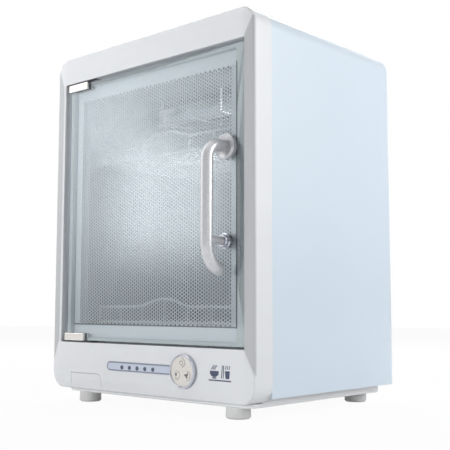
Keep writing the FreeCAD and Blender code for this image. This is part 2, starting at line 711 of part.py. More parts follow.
def grip_path():
    """Centre line of the grip: out of the rosette, down, and back towards the pane."""
    x = size("handle_x")
    front = size("front_y")
    reach = front - size("grip_reach")
    bend = size("grip_bend")
    tail = size("tail_bend")
    top = size("rosette_z")
    low = size("tail_top")
    turn = math.radians(size("tail_turn"))
    start = FreeCAD.Vector(x, front - 1, top)
    short = 1 - math.sin(math.pi / 4)

    def on_tail(angle):
        return FreeCAD.Vector(x, reach + tail * (1 - math.cos(angle)), low - tail * math.sin(angle))

    bend_start = FreeCAD.Vector(x, reach + bend, top)
    bend_middle = FreeCAD.Vector(x, reach + bend * short, top - bend * short)
    bend_end = FreeCAD.Vector(x, reach, top - bend)
    tail_start = on_tail(0)
    tail_middle = on_tail(turn / 2)
    tail_end = on_tail(turn)
    path = Part.Wire([
        Part.LineSegment(start, bend_start).toShape(),
        Part.Arc(bend_start, bend_middle, bend_end).toShape(),
        Part.LineSegment(bend_end, tail_start).toShape(),
        Part.Arc(tail_start, tail_middle, tail_end).toShape(),
    ])
    return path, start, tail_end


def build_handle():
    path, start, tail_end = grip_path()
    radius = size("grip_radius")
    section = Part.Wire([Part.makeCircle(radius, start, FreeCAD.Vector(0, -1, 0))])
    bar = doc.addObject("Part::Feature", "grip_bar")
    bar.Shape = path.makePipeShell([section], True, True)
    capped = soften("grip_capped", bar,
                    lambda edge: edge.CenterOfMass.distanceToPoint(tail_end) < 0.1, "grip_end_round")
    arm = rod("grip_arm", "y", "arm_radius", (behind("-grip_reach"), behind("glass_set")),
              x="handle_x", z="arm_z")
    bores = handle_bores("grip_bore", f"{BOLT_SHANK} + running", (behind(-9), behind(10)))
    node("door_handle", cut("grip_cut", fuse("grip_form", capped, arm), *bores))

    rosette = body("rosette_form", x="handle_x", y="front_y", z="rosette_z")
    section = outline(rosette, "rosette_section", "XY_Plane", [
        (f"{BOLT_SHANK} + running", -1), ("grip_radius + 0.1", -1), ("rosette_radius - 4.5", -3),
        ("rosette_radius - 2.5", -4), ("rosette_radius", -1.5), ("rosette_radius", "glass_set"),
        (f"{BOLT_SHANK} + running", "glass_set")])
    turned = feature(rosette, "Revolution", "rosette_turned", section, Angle=360)
    turned.ReferenceAxis = (origin_part(rosette, "Y_Axis"), [""])
    node("handle_rosette", rosette)

    collar = body("collar_form", x="handle_x", y="front_y", z="arm_z")
    bore, neck, flare, foot = "arm_radius + 0.1", "arm_radius + 2.4", "arm_radius + 3.2", "arm_radius + 4.8"
    section = outline(collar, "collar_section", "XY_Plane", [
        (bore, -7), (neck, -7), (flare, -5), (flare, -2.5), (foot, -1.5), (foot, "glass_set"),
        (bore, "glass_set")])
    turned = feature(collar, "Revolution", "collar_turned", section, Angle=360)
    turned.ReferenceAxis = (origin_part(collar, "Y_Axis"), [""])
    node("handle_collar", collar)

    screws = []
    pane_back = "glass_set + glass"
    heads = handle_bores("handle_screw_head", BOLT_HEAD,
                         (behind(pane_back), behind(f"{pane_back} + {BOLT_HEAD_HIGH}")))
    shanks = handle_bores("handle_screw_shank", BOLT_SHANK, (behind(-8.5), behind(pane_back)))
    for index, (head, shank) in enumerate(zip(heads, shanks)):
        screws.append(fuse(f"handle_screw_{index}", head, shank))
    node("handle_screws", group("handle_screw_group", *screws))


# ---- chamber ----

def build_liner():
    liner_front = "well_depth + liner_sheet"
    past_rear = (behind(f"chamber_rear - {PAST}"), behind(f"chamber_rear + {PAST}"))
    outside = box("liner_outside", (f"{WALL_LEFT} - liner_sheet", f"{WALL_RIGHT} + liner_sheet"),
                  (behind("well_depth"), behind(LINER_BACK)),
                  ("chamber_low - liner_sheet", "chamber_top + liner_sheet"))
    flange = box("liner_flange", ("open_left - well_wall", "open_right + well_wall"),
                 (behind("well_depth"), behind(liner_front)),
                 ("open_low - well_wall", "open_top + well_wall"))
    inside = box("liner_inside", (WALL_LEFT, WALL_RIGHT), (behind(liner_front), behind("chamber_rear")),
                 ("chamber_low", "chamber_top"))
    mouth = box("liner_mouth", ("chamber_x - mouth_half", "chamber_x + mouth_half"),
                (behind(f"well_depth - {PAST}"), behind(f"well_depth + {PAST}")), ("mouth_low", "mouth_top"))
    drain = rod("liner_drain", "z", DRAIN_BORE, (f"chamber_low - {PAST}", f"chamber_low + {PAST}"),
                x=DRAIN_X, y=behind(DRAIN_Y))
    grille = []
    for index in range(GRILLE_SLOTS):
        low = f"fan_z - 30 + {index * VENT_PITCH}"
        grille.append(box(f"liner_slot_{index}", (f"chamber_x - {VENT_HALF}", f"chamber_x + {VENT_HALF}"),
                          past_rear, (low, f"{low} + {VENT_SLOT}")))
    form = fuse("liner_form", outside, flange)
    node("chamber_liner", cut("liner_cut", form, inside, mouth, drain, *grille))

    gasket = screen_block("seal_outside", "(-seal_in)",
                          (behind("door_back + lip_sheet + seal_gap"), behind("well_depth")))
    node("door_seal", cut("seal_cut", gasket,
                          screen_block("seal_inside", "(-door_frame_lip)", (behind(PAST), past_rear[1]))))

    tube = rod("spout_outside", "z", DRAIN_BORE + DRAIN_WALL, ("hatch_top + 3", "chamber_low - liner_sheet"),
               x=DRAIN_X, y=behind(DRAIN_Y))
    bore = rod("spout_bore", "z", DRAIN_BORE, ("hatch_top", "chamber_low"), x=DRAIN_X, y=behind(DRAIN_Y))
    node("drain_spout", cut("spout_cut", tube, bore))

    node("door_magnet", box("magnet_block", LATCH_X,
                            (behind("door_back + 1.6"), behind("well_depth")), MAGNET_Z))
    node("door_switch", box("switch_block", LATCH_X,
                            (behind(liner_front), behind(f"{liner_front} + {SWITCH_DEEP}")), SWITCH_Z))


def hump_height(x):
    """Height of the guard rail over its ends at x from the middle."""
    half = size("hump_half")
    rise = size("hump")
    radius = (half ** 2 + rise ** 2) / (4 * rise)
    away = abs(x)
    if away >= half:
        return 0.0
    if away > half / 2:
        return radius - math.sqrt(radius ** 2 - (half - away) ** 2)
    return rise - radius + math.sqrt(radius ** 2 - away ** 2)


def rail_wire(z):
    """Guard rail's centre line: level, with one smooth hump in the middle."""
    middle = size("chamber_x")
    y = size("front_y") + size("rack_front")
    half = size("rack_half")
    hump = size("hump_half")

    def point(x):
        return FreeCAD.Vector(middle + x, y, z + hump_height(x))

    pieces = [Part.LineSegment(point(-half), point(-hump)).toShape()]
    for left, right in ((-hump, -hump / 2), (-hump / 2, hump / 2), (hump / 2, hump)):
        pieces.append(Part.Arc(point(left), point((left + right) / 2), point(right)).toShape())
    pieces.append(Part.LineSegment(point(hump), point(half)).toShape())
    return Part.Wire(pieces)


def build_rack(name, level):
    """Wire rack: a floor of wires welded into a rim, and a guard rail with a hump along its front."""
    left, right = "chamber_x - rack_half", "chamber_x + rack_half"
    front, rear = behind("rack_front"), behind("rack_rear")
    wires = [
        rod(name + "_rim_front", "x", "rim_wire", (left, right), y=front, z=level),
        rod(name + "_rim_rear", "x", "rim_wire", (left, right), y=rear, z=level),
        rod(name + "_rim_left", "y", "rim_wire", (front, rear), x=left, z=level),
        rod(name + "_rim_right", "y", "rim_wire", (front, rear), x=right, z=level),
    ]
    for side, x in (("left", left), ("right", right)):
        for end, y in (("front", front), ("rear", rear)):
            wires.append(ball(f"{name}_corner_{end}_{side}", "rim_wire + 0.1", x, y, level))
    for index in range(1, FLOOR_GAPS):
        x = f"chamber_x - rack_half + 2 * rack_half * {index} / {FLOOR_GAPS}"
        wires.append(rod(f"{name}_floor_wire_{index}", "y", "floor_wire", (front, rear), x=x, z=level))
    for third in (1, 2):
        y = behind(f"rack_front + (rack_rear - rack_front) * {third} / 3")
        wires.append(rod(f"{name}_cross_wire_{third}", "x", "rim_wire", (f"{left} + 5", f"{right} - 5"),
                         y=y, z=f"{level} - floor_wire - rim_wire + 0.4"))
    node(name + "_floor", fuse(name + "_floor_form", *wires))

    base = size(level)
    rail_z = base + size("wave_rise")
    start = FreeCAD.Vector(size("chamber_x") - size("rack_half"),
                           size("front_y") + size("rack_front"), rail_z)
    section = Part.Wire([Part.makeCircle(size("rim_wire"), start, FreeCAD.Vector(1, 0, 0))])
    rail = doc.addObject("Part::Feature", name + "_rail")
    rail.Shape = rail_wire(rail_z).makePipeShell([section], True, True)
    posts = [rail]
    foot = f"{level} + 1.5"
    head = f"{level} + wave_rise"
    for side, x in (("left", left), ("right", right)):
        posts.append(ball(f"{name}_rail_end_{side}", "rim_wire + 0.1", x, front, head))
        posts.append(rod(f"{name}_end_post_{side}", "z", "rim_wire", (foot, head), x=x, y=front))
    for index in range(1, GUARD_GAPS):
        offset = size("rack_half") * (2 * index / GUARD_GAPS - 1)
        x = f"chamber_x - rack_half + 2 * rack_half * {index} / {GUARD_GAPS}"
        posts.append(rod(f"{name}_post_{index}", "z", "floor_wire",
                         (foot, f"{head} + {hump_height(offset):.3f}"), x=x, y=front))
    node(name + "_guard", fuse(name + "_guard_form", *posts))

    top = f"{level} - rim_wire - 0.3"
    ledges = []
    for side, wall, into in (("left", WALL_LEFT, 1), ("right", WALL_RIGHT, -1)):
        leg = sorted_span(wall, f"{wall} + ({into}) * 1.2", into)
        shelf = sorted_span(wall, f"{wall} + ({into}) * 16", into)
        span = (behind("rack_front + 4"), behind("rack_rear + 4"))
        ledges.append(fuse(f"{name}_ledge_{side}",
                           box(f"{name}_ledge_leg_{side}", leg, span, (f"{top} - 8", top)),
                           box(f"{name}_ledge_shelf_{side}", shelf, span, (f"{top} - 1.2", top))))
    node(name + "_ledges", group(name + "_ledge_pair", *ledges))


def sorted_span(first, second, direction):
    return (first, second) if direction > 0 else (second, first)


def build_lamp():
    middle = behind("tube_y")
    tube_ends = ("chamber_x - tube_half", "chamber_x + tube_half")
    node("uv_tube", rod("tube_glass", "x", "tube_radius", tube_ends, y=middle, z="tube_z"))
    caps = []
    holders = []
    for side, end, out in (("left", tube_ends[0], -1), ("right", tube_ends[1], 1)):
        cap = sorted_span(end, f"{end} + ({out}) * 8", out)
        holder = sorted_span(f"{end} + ({out}) * 8", f"{end} + ({out}) * 20", out)
        caps.append(rod(f"tube_cap_{side}", "x", "tube_radius + 0.4", cap, y=middle, z="tube_z"))
        holders.append(box(f"lamp_holder_{side}", holder, (behind("tube_y - 11"), behind("tube_y + 11")),
                           ("tube_z - 11", "chamber_top")))
    node("uv_tube_caps", group("tube_cap_pair", *caps))
    node("lamp_holders", group("lamp_holder_pair", *holders))

    reflector = body("reflector_form", x="chamber_x", y=behind("tube_y"), z="chamber_top")
    section = outline(reflector, "reflector_section", "YZ_Plane", [
        (-30, -11), (-20, 0), (20, 0), (30, -11), (29.2, -11.7), (19.5, -1), (-19.5, -1), (-29.2, -11.7)])
    feature(reflector, "Pad", "reflector_pad", section, Length="2 * tube_half", Midplane=True)
    node("lamp_reflector", reflector)


def build_lamp_guard():
    low = f"tube_z - {GUARD_DROP}"
    length = ("chamber_x - tube_half + 4", "chamber_x + tube_half - 4")
    across = (behind(f"tube_y - {GUARD_REACH}"), behind(f"tube_y + {GUARD_REACH}"))
    wires = []
    for index, part in enumerate((-1, -1 / 3, 1 / 3, 1)):
        y = behind(f"tube_y + {GUARD_REACH * part}")
        wires.append(rod(f"guard_long_{index}", "x", GUARD_WIRE, length, y=y, z=low))
    for index in range(4):
        x = f"chamber_x - tube_half + 10 + (2 * tube_half - 20) * {index} / 3"
        wires.append(rod(f"guard_hoop_{index}", "y", GUARD_WIRE, across, x=x, z=low))
        for end, y in zip(("front", "rear"), across):
            wires.append(rod(f"guard_leg_{end}_{index}", "z", GUARD_WIRE, (low, "chamber_top"), x=x, y=y))
            wires.append(ball(f"guard_corner_{end}_{index}", GUARD_WIRE + WELD_BEAD, x, y, low))
    node("lamp_guard", fuse("lamp_guard_form", *wires))


# ---- drying ----

def build_fan():
    width = ("chamber_x - fan_half", "chamber_x + fan_half")
    height = ("fan_z - fan_half", "fan_z + fan_half")
    square = box("fan_square", width, (behind(FAN_FRONT), behind(FAN_REAR)), height)
    tunnel = rod("fan_tunnel", "y", "fan_bore",
                 (behind(f"{FAN_FRONT} - {PAST}"), behind(f"{FAN_REAR} + {PAST}")), x="chamber_x", z="fan_z")
    base_span = (behind(FAN_REAR + " - 4"), behind(FAN_REAR))
    motor_base = rod("fan_motor_base", "y", "hub_radius", base_span, x="chamber_x", z="fan_z")
    struts = [box("fan_strut_level", (f"{width[0]} + 1", f"{width[1]} - 1"), base_span,
                  ("fan_z - 2", "fan_z + 2")),
              box("fan_strut_upright", ("chamber_x - 2", "chamber_x + 2"), base_span,
                  (f"{height[0]} + 1", f"{height[1]} - 1"))]
    bearing = rod("fan_bearing", "y", f"{SHAFT} + running",
                  (behind(FAN_REAR + " - 9"), behind(FAN_REAR + " - 1")), x="chamber_x", z="fan_z")
    form = fuse("fan_frame_form", cut("fan_ring", square, tunnel), motor_base, *struts)
    node("fan_frame", cut("fan_frame_cut", form, bearing))

    middle = FreeCAD.Vector(size("chamber_x"), 0, size("fan_z"))
    rear = size("front_y") + size("depth") - size("wrap_sheet") - size("plate_sheet")
    front = rear - size("fan_thick")
    hub_front = FreeCAD.Vector(middle.x, front + 1.5, middle.z)
    hub = Part.makeCylinder(size("hub_radius"), size("fan_thick") - 6, hub_front, DEEP)
    shaft = Part.makeCylinder(SHAFT, size("fan_thick") - 4, hub_front, DEEP)
    blade = Part.makeBox(BLADE_SHEET, BLADE_WIDE, size("blade_reach") - size("hub_radius") + 4,
                         FreeCAD.Vector(-BLADE_SHEET / 2, -BLADE_WIDE / 2, size("hub_radius") - 3))
    blade.rotate(FreeCAD.Vector(), UPRIGHT, BLADE_PITCH_ANGLE)
    blade.translate(FreeCAD.Vector(middle.x, front + 11, middle.z))
    blades = []
    for index in range(BLADES):
        turned = blade.copy()
        turned.rotate(middle, DEEP, 360 * index / BLADES)
        blades.append(turned)
    sweep = Part.makeCylinder(size("blade_reach"), size("fan_thick") - 5, hub_front, DEEP)
    rotor = doc.addObject("Part::Feature", "rotor")
    rotor.Shape = hub.fuse([shaft] + [turned.common(sweep) for turned in blades])
    node("fan_impeller", rotor)


def build_heater():
    """Heating element's frame behind the grille, with gaps between its fins."""
    block = box("heater_block", (f"chamber_x - {HEATER_HALF}", f"chamber_x + {HEATER_HALF}"),
                (behind(LINER_BACK), behind(f"{LINER_BACK} + {HEATER_DEEP}")),
                (f"fan_z - {HEATER_HIGH}", f"fan_z + {HEATER_HIGH}"))
    through = (behind(f"chamber_rear - {PAST}"), behind(f"{LINER_BACK} + {HEATER_DEEP + PAST}"))
    levels = (f"fan_z - {HEATER_HIGH - HEATER_RIM}", f"fan_z + {HEATER_HIGH - HEATER_RIM}")
    gaps = []
    for index in range(HEATER_GAPS):
        left = f"chamber_x - {HEATER_HALF - HEATER_RIM} + {index * HEATER_FIN_PITCH}"
        gaps.append(box(f"heater_gap_{index}", (left, f"{left} + {HEATER_FIN_GAP}"), through, levels))
    node("heater", cut("heater_cut", block, *gaps))


# ---- control panel ----

def key_rods(name, radius, y):
    """Round bars along Y where the keys are: one on top, two below."""
    return [rod(f"{name}_{key}", "y", radius, y, x=f"disc_x + key_circle * cos({turn})",
                z=f"panel_z + key_circle * sin({turn})") for key, turn in KEY_TURNS]


def build_controls():
    cleared = (behind(-PAST), behind(PAST))
    ring = body("ring_form", x="disc_x", y="front_y", z="panel_z")
    section = outline(ring, "ring_section", "XY_Plane", [
        ("ring_bore", 1.2), ("ring_radius", 1.2), ("ring_radius", -4.2), ("ring_radius - 0.9", -5.6),
        ("ring_bore + 0.6", -5.6), ("ring_bore", -4.8)])
    turned = feature(ring, "Revolution", "ring_turned", section, Angle=360)
    turned.ReferenceAxis = (origin_part(ring, "Y_Axis"), [""])
    node("control_ring", ring)

    disc = rod("face_disc", "y", "ring_bore - 0.2", (behind(-4.2), behind(1.4)), x="disc_x", z="panel_z")
    cup = rod("face_cup", "y", "ring_bore - 1.2", (behind(-1.2), behind(PAST)), x="disc_x", z="panel_z")
    ways = key_rods("face_hole", "key_radius + 0.3", (behind(-8), behind(PAST)))
    node("control_face", cut("face_cut", disc, cup, *ways))

    cap_front = size("front_y") - 5.2

    def cap_edge(edge):
        return abs(edge.BoundBox.YMax - cap_front) < 0.01

    caps = [soften(cap.Name + "_round", cap, cap_edge, "rim_round")
            for cap in key_rods("key_cap", "key_radius", (behind(-5.2), behind(-0.2)))]
    rims = key_rods("key_rim", "key_radius + 1.1", (behind(-1), behind(0.2)))
    stems = key_rods("key_stem", KEY_STEM, (behind(0.2), behind(6.6)))
    for (key, turn), cap, rim, stem in zip(KEY_TURNS, caps, rims, stems):
        node(key, fuse(key + "_form", cap, rim, stem))

    strip = strip_form("strip_slab", 0, (behind(-0.6), behind(1.2)))
    clear = rod("strip_clear", "y", "ring_radius + 0.1", cleared, x="disc_x", z="panel_z")
    node("control_strip", cut("strip_cut", strip, clear, *lens_rods("strip_hole", 0.1, cleared)))
    node("indicator_lenses", group("lens_group", *lens_rods("lens", 0, (behind(-1.1), behind(4.5)))))
    node("indicator_leds", group("led_group", *lens_rods("led", -0.5, (behind(6), behind("board_set")))))

    bodies = key_rods("switch_body", SWITCH_BODY, (behind(9), behind("board_set")))
    plungers = key_rods("switch_plunger", SWITCH_PLUNGER, (behind(8), behind(9)))
    switches = [fuse(f"key_switch_{index}", *pair) for index, pair in enumerate(zip(bodies, plungers))]
    node("key_switches", group("key_switch_group", *switches))
    node("control_board", box("control_board_block", ("strip_left + 8", "disc_x + 26"),
                              (behind("board_set"), behind(f"board_set + {BOARD_SHEET}")),
                              (f"panel_z - {BOARD_HALF}", f"panel_z + {BOARD_HALF}")))


# ---- water and power ----

def build_drawer(form):
    blank = hatch_form("hatch_blank", 0, "frame_wall")
    node("drip_drawer_front", common("hatch_common", form, blank))

    tray_x = ("hatch_left + 1.5", "hatch_right - 1.5")
    tray = box("tray_outside", tray_x, (behind("frame_wall"), behind("frame_wall + drawer_depth")),
               ("drawer_low", "drawer_high"))
    hollow = box("tray_inside", (f"{tray_x[0]} + drawer_wall", f"{tray_x[1]} - drawer_wall"),
                 (behind("frame_wall + drawer_wall"), behind("frame_wall + drawer_depth - drawer_wall")),
                 ("drawer_low + drawer_wall", "drawer_high + 5"))
    node("drip_drawer_tray", cut("tray_cut", tray, hollow))

    guides = []
    span = (behind("frame_depth + 1"), behind("frame_wall + drawer_depth + 6"))
    floor_z = "wrap_low + plate_sheet"
    for side, edge, into in (("left", tray_x[0], 1), ("right", tray_x[1], -1)):
        wall = sorted_span(f"{edge} - ({into}) * 2.2", f"{edge} - ({into}) * 0.4", into)
        foot = sorted_span(f"{edge} - ({into}) * 2.2", f"{edge} + ({into}) * 5", into)
        guides.append(fuse(f"drawer_guide_{side}",
                           box(f"guide_wall_{side}", wall, span, (floor_z, "drawer_low + 6")),
                           box(f"guide_foot_{side}", foot, span, (floor_z, "drawer_low - 0.3"))))
    node("drawer_guides", group("drawer_guide_pair", *guides))


def build_power():
    floor_z = "wrap_low + plate_sheet"
    board_x = ("-35", "75")
    board_y = (behind(185), behind(262))
    under = f"{floor_z} + board_rise"
    node("power_board", box("power_board_block", board_x, board_y, (under, f"{under} + {BOARD_SHEET}")))
    posts = [rod(f"standoff_{side}_{end}", "z", 3, (floor_z, under), x=x, y=y)
             for side, x in (("left", f"{board_x[0]} + 6"), ("right", f"{board_x[1]} - 6"))
             for end, y in (("front", f"{board_y[0]} + 6"), ("rear", f"{board_y[1]} - 6"))]
    node("board_standoffs", group("standoff_group", *posts))
    core = box("transformer_core", ("-110", "-60"), (behind(196), behind(254)), (floor_z, f"{floor_z} + 42"))
    coil = box("transformer_coil", ("-105", "-65"), (behind(188), behind(262)),
               (f"{floor_z} + 9", f"{floor_z} + 35"))
    node("transformer", fuse("transformer_form", core, coil))
    node("uv_ballast", box("ballast_block", ("100", "150"), (behind(110), behind(215)),
                           (floor_z, f"{floor_z} + 26")))


def inlet_block(name, grow, y):
    """Block the size of the power inlet's barrel, larger all round by grow."""
    return box(name, (f"inlet_x - {INLET_HALF + grow}", f"inlet_x + {INLET_HALF + grow}"), y,
               (f"inlet_z - {INLET_HIGH + grow}", f"inlet_z + {INLET_HIGH + grow}"))


def build_inlet():
    rear = "depth - wrap_sheet"
    rim = inlet_block("inlet_rim", INLET_RIM, (behind(rear), behind(rear + " + 1.4")))
    barrel = inlet_block("inlet_barrel", 0, (behind(rear + " - 24"), behind(rear)))
    socket = inlet_block("inlet_socket", -INLET_WALL, (behind(rear + " - 15"), behind(f"{rear} + {PAST}")))
    pin_span = (behind(rear + " - 16"), behind(rear + " - 6"))
    pins = [rod(f"inlet_pin_{side}", "y", 1.4, pin_span, x=x, z="inlet_z")
            for side, x in (("left", "inlet_x - 4.5"), ("right", "inlet_x + 4.5"))]
    shell = cut("inlet_shell", fuse("inlet_outside", rim, barrel), socket)
    node("power_inlet", fuse("inlet_form", shell, *pins))


def write_nodes():
    doc.recompute()
    for item in doc.Objects:
        if {"Invalid", "Error"} & set(item.State):
            raise RuntimeError(f"{item.Name} failed: {item.State}")
    os.makedirs("parts", exist_ok=True)
    for item in NODES:
        shape = item.Shape
        if shape.isNull() or not shape.isValid() or not shape.Solids:
            raise RuntimeError(f"{item.Label} has no valid solid")
        shape.exportStep(f"parts/{item.Label}.step")
        bounds = shape.BoundBox
        print(f"{item.Label:20s} solids {len(shape.Solids):2d} volume {shape.Volume / 1000:9.2f} cm3  "
              f"x {bounds.XMin:7.1f} {bounds.XMax:7.1f}  y {bounds.YMin:7.1f} {bounds.YMax:7.1f}  "
              f"z {bounds.ZMin:6.1f} {bounds.ZMax:6.1f}")
    print(len(NODES), "nodes")


frame_outside = frame_form()
build_front_bezel(frame_outside)
build_shell_and_back()
build_bottom_plate()
build_base()
build_pane()
build_door_frame()
build_hinges()
build_handle()
build_liner()
build_rack("upper_rack", "upper_rack_z")
build_rack("lower_rack", "lower_rack_z")
build_lamp()
build_lamp_guard()
build_fan()
build_heater()
build_controls()
build_drawer(frame_outside)
build_power()
build_inlet()
write_nodes()
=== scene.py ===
"""Countertop sterilizing and drying cabinet.

Gives the CAD nodes their finishes, adds the perforated screen, the cross-head screws and the printed
marks, and sets the light and the camera.
"""

import json
import math

import bmesh
import bpy
from mathutils import Matrix, Vector
from mathutils.bvhtree import BVHTree


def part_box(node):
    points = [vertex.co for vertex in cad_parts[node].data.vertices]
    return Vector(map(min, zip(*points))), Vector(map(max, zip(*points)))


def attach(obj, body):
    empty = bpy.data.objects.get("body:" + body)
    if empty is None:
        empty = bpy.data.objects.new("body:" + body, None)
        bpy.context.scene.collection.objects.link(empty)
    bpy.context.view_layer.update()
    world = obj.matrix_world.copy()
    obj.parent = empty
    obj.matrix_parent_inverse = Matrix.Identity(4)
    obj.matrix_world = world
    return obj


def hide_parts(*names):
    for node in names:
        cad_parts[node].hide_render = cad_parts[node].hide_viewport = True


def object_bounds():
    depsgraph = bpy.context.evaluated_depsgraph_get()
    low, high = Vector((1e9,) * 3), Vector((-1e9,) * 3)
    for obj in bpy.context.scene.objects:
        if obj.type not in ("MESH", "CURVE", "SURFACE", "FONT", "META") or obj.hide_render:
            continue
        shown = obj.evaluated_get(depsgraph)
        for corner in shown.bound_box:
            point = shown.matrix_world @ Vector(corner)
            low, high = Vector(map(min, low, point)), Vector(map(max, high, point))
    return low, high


bl_info = {
    "name": "Sterilizer cabinet",
    "version": (1, 0, 0),
    "blender": (4, 5, 0),
    "location": "View3D > Sidebar > Cabinet",
    "description": "Dresses the sterilizing and drying cabinet and sets its stage",
    "category": "Object",
}

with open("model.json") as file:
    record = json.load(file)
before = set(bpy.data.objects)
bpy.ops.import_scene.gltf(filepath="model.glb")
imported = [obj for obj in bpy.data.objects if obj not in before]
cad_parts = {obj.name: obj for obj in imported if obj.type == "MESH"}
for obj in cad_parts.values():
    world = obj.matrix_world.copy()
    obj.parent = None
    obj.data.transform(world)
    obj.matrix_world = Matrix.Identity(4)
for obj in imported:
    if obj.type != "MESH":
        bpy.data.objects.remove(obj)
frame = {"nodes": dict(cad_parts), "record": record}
CAD_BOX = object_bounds()
CAD = frame["nodes"]

MM = 0.001

# Places that finishes and pieces are laid out from
FRONT_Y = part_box("front_bezel")[0].y
GLASS_LOW, GLASS_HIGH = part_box("door_glass")
SCREEN_LOW, SCREEN_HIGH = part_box("door_screen")
LINER_LOW, LINER_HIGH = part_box("chamber_liner")

# Width of one column of staggered holes over their pitch
ROW_SLANT = math.sin(math.radians(60))

# Depths of fine relief
GRAIN = 0.03 * MM
WIPE = 0.01 * MM

# Painted shade beside the plain colour: the front frame's strips beside the door are painted darker, and a
# painted shadow line runs at the end of the screen's holes
STRIP_PAINTED_SHADE = 0.68
SHADOW_LINE_TONE = 0.12
SHADOW_LINE_STEP = 0.5 * MM

# The room that shiny surfaces mirror: levels of its walls, of its dimmer front and of a softbox in that front
FRONT_SIDE = (0.17, -0.985, 0.0)
FRONT_LEVEL = 0.3
WALL_FOOT = 0.4
LEFT_WALL = 1.8
RIGHT_WALL = 1.0
SOFTBOX = 1.7
SOFTBOX_AHEAD = 0.56
SOFTBOX_HEIGHT = 0.12

# Share of plain white in the floor that the eye sees, and the floor's half width
FLOOR_WHITE = 0.95
FLOOR_REACH = 4.0

# Lamps: place, point that they face, size, whether shiny surfaces mirror them, beam's width in degrees
STAGE_MIDDLE = (0.0, 0.0, 0.25)
LAMPS = {
    "side": ((1.5, 0.65, 0.85), STAGE_MIDDLE, 1.0, True, 180),
    "rear": ((-1.1, 1.2, 1.3), STAGE_MIDDLE, 1.0, True, 180),
    "front": ((-0.46, -1.66, 0.34), STAGE_MIDDLE, 0.18, False, 180),
    "upper": ((-0.2, -0.55, 0.85), (-0.12, -0.14, 0.49), 0.2, False, 180),
    "lower": ((0.5, -0.75, 0.12), (0.1, -0.14, 0.06), 0.3, False, 180),
    "inner": ((0.148, -0.03, 0.385), (-0.147, -0.03, 0.385), 0.09, False, 110),
    "rack": ((0.0, -0.112, 0.455), (0.0, -0.105, 0.35), 0.024, False, 150),
}


# ---- settings that a user would change ----

class CabinetSizes(bpy.types.PropertyGroup):
    """Sizes of the pieces that the scene adds."""

    hole_pitch: bpy.props.FloatProperty(
        name="Hole pitch", description="Screen's holes, middle to middle", default=4.55 * MM, unit="LENGTH")
    hole_radius: bpy.props.FloatProperty(
        name="Hole radius", description="Screen's holes", default=1.85 * MM, unit="LENGTH")
    screen_sheet: bpy.props.FloatProperty(
        name="Screen's sheet", description="Thickness of the sheet", default=0.5 * MM, unit="LENGTH")
    hole_sides: bpy.props.IntProperty(
        name="Hole sides", description="Straight sides that stand for a round hole", default=8)
    screen_left: bpy.props.FloatProperty(
        name="Left border", description="Border left of the holes", default=12 * MM, unit="LENGTH")
    screen_right: bpy.props.FloatProperty(
        name="Right border", description="Least border right of the holes", default=3 * MM, unit="LENGTH")
    screen_ends: bpy.props.FloatProperty(
        name="End borders", description="Border over and under the holes", default=17 * MM, unit="LENGTH")
    rear_head: bpy.props.FloatProperty(
        name="Rear heads", description="Height of the rear screws' heads", default=1.4 * MM, unit="LENGTH")
    foot_head: bpy.props.FloatProperty(
        name="Foot heads", description="Height of the foot screws' heads", default=2.4 * MM, unit="LENGTH")
    print_depth: bpy.props.FloatProperty(
        name="Print depth", description="Thickness of a printed mark", default=0.06 * MM, unit="LENGTH")


class CabinetColours(bpy.types.PropertyGroup):
    """Colours of the main finishes."""

    frame: bpy.props.FloatVectorProperty(
        name="Frame", description="Moulded front frame", subtype="COLOR", size=3,
        default=(0.715, 0.73, 0.755))
    wrap: bpy.props.FloatVectorProperty(
        name="Wrap", description="Enamelled steel wrap", subtype="COLOR", size=3, default=(0.60, 0.69, 0.775))
    screen: bpy.props.FloatVectorProperty(
        name="Screen", description="Coated screen", subtype="COLOR", size=3, default=(0.60, 0.635, 0.655))
    door_frame: bpy.props.FloatVectorProperty(
        name="Door frame", description="Coated frame behind the pane", subtype="COLOR", size=3,
        default=(0.52, 0.56, 0.565))
    grip: bpy.props.FloatVectorProperty(
        name="Grip", description="Grip and rosette", subtype="COLOR", size=3, default=(0.60, 0.605, 0.63))
    print: bpy.props.FloatVectorProperty(
        name="Print", description="Pictogram on the front", subtype="COLOR", size=3,
        default=(0.045, 0.06, 0.12))
    mark: bpy.props.FloatVectorProperty(
        name="Marks", description="Pictograms on the keys", subtype="COLOR", size=3,
        default=(0.16, 0.15, 0.16))
    outline: bpy.props.FloatVectorProperty(
        name="Outline", description="Line round the control strip", subtype="COLOR", size=3,
        default=(0.21, 0.23, 0.30))


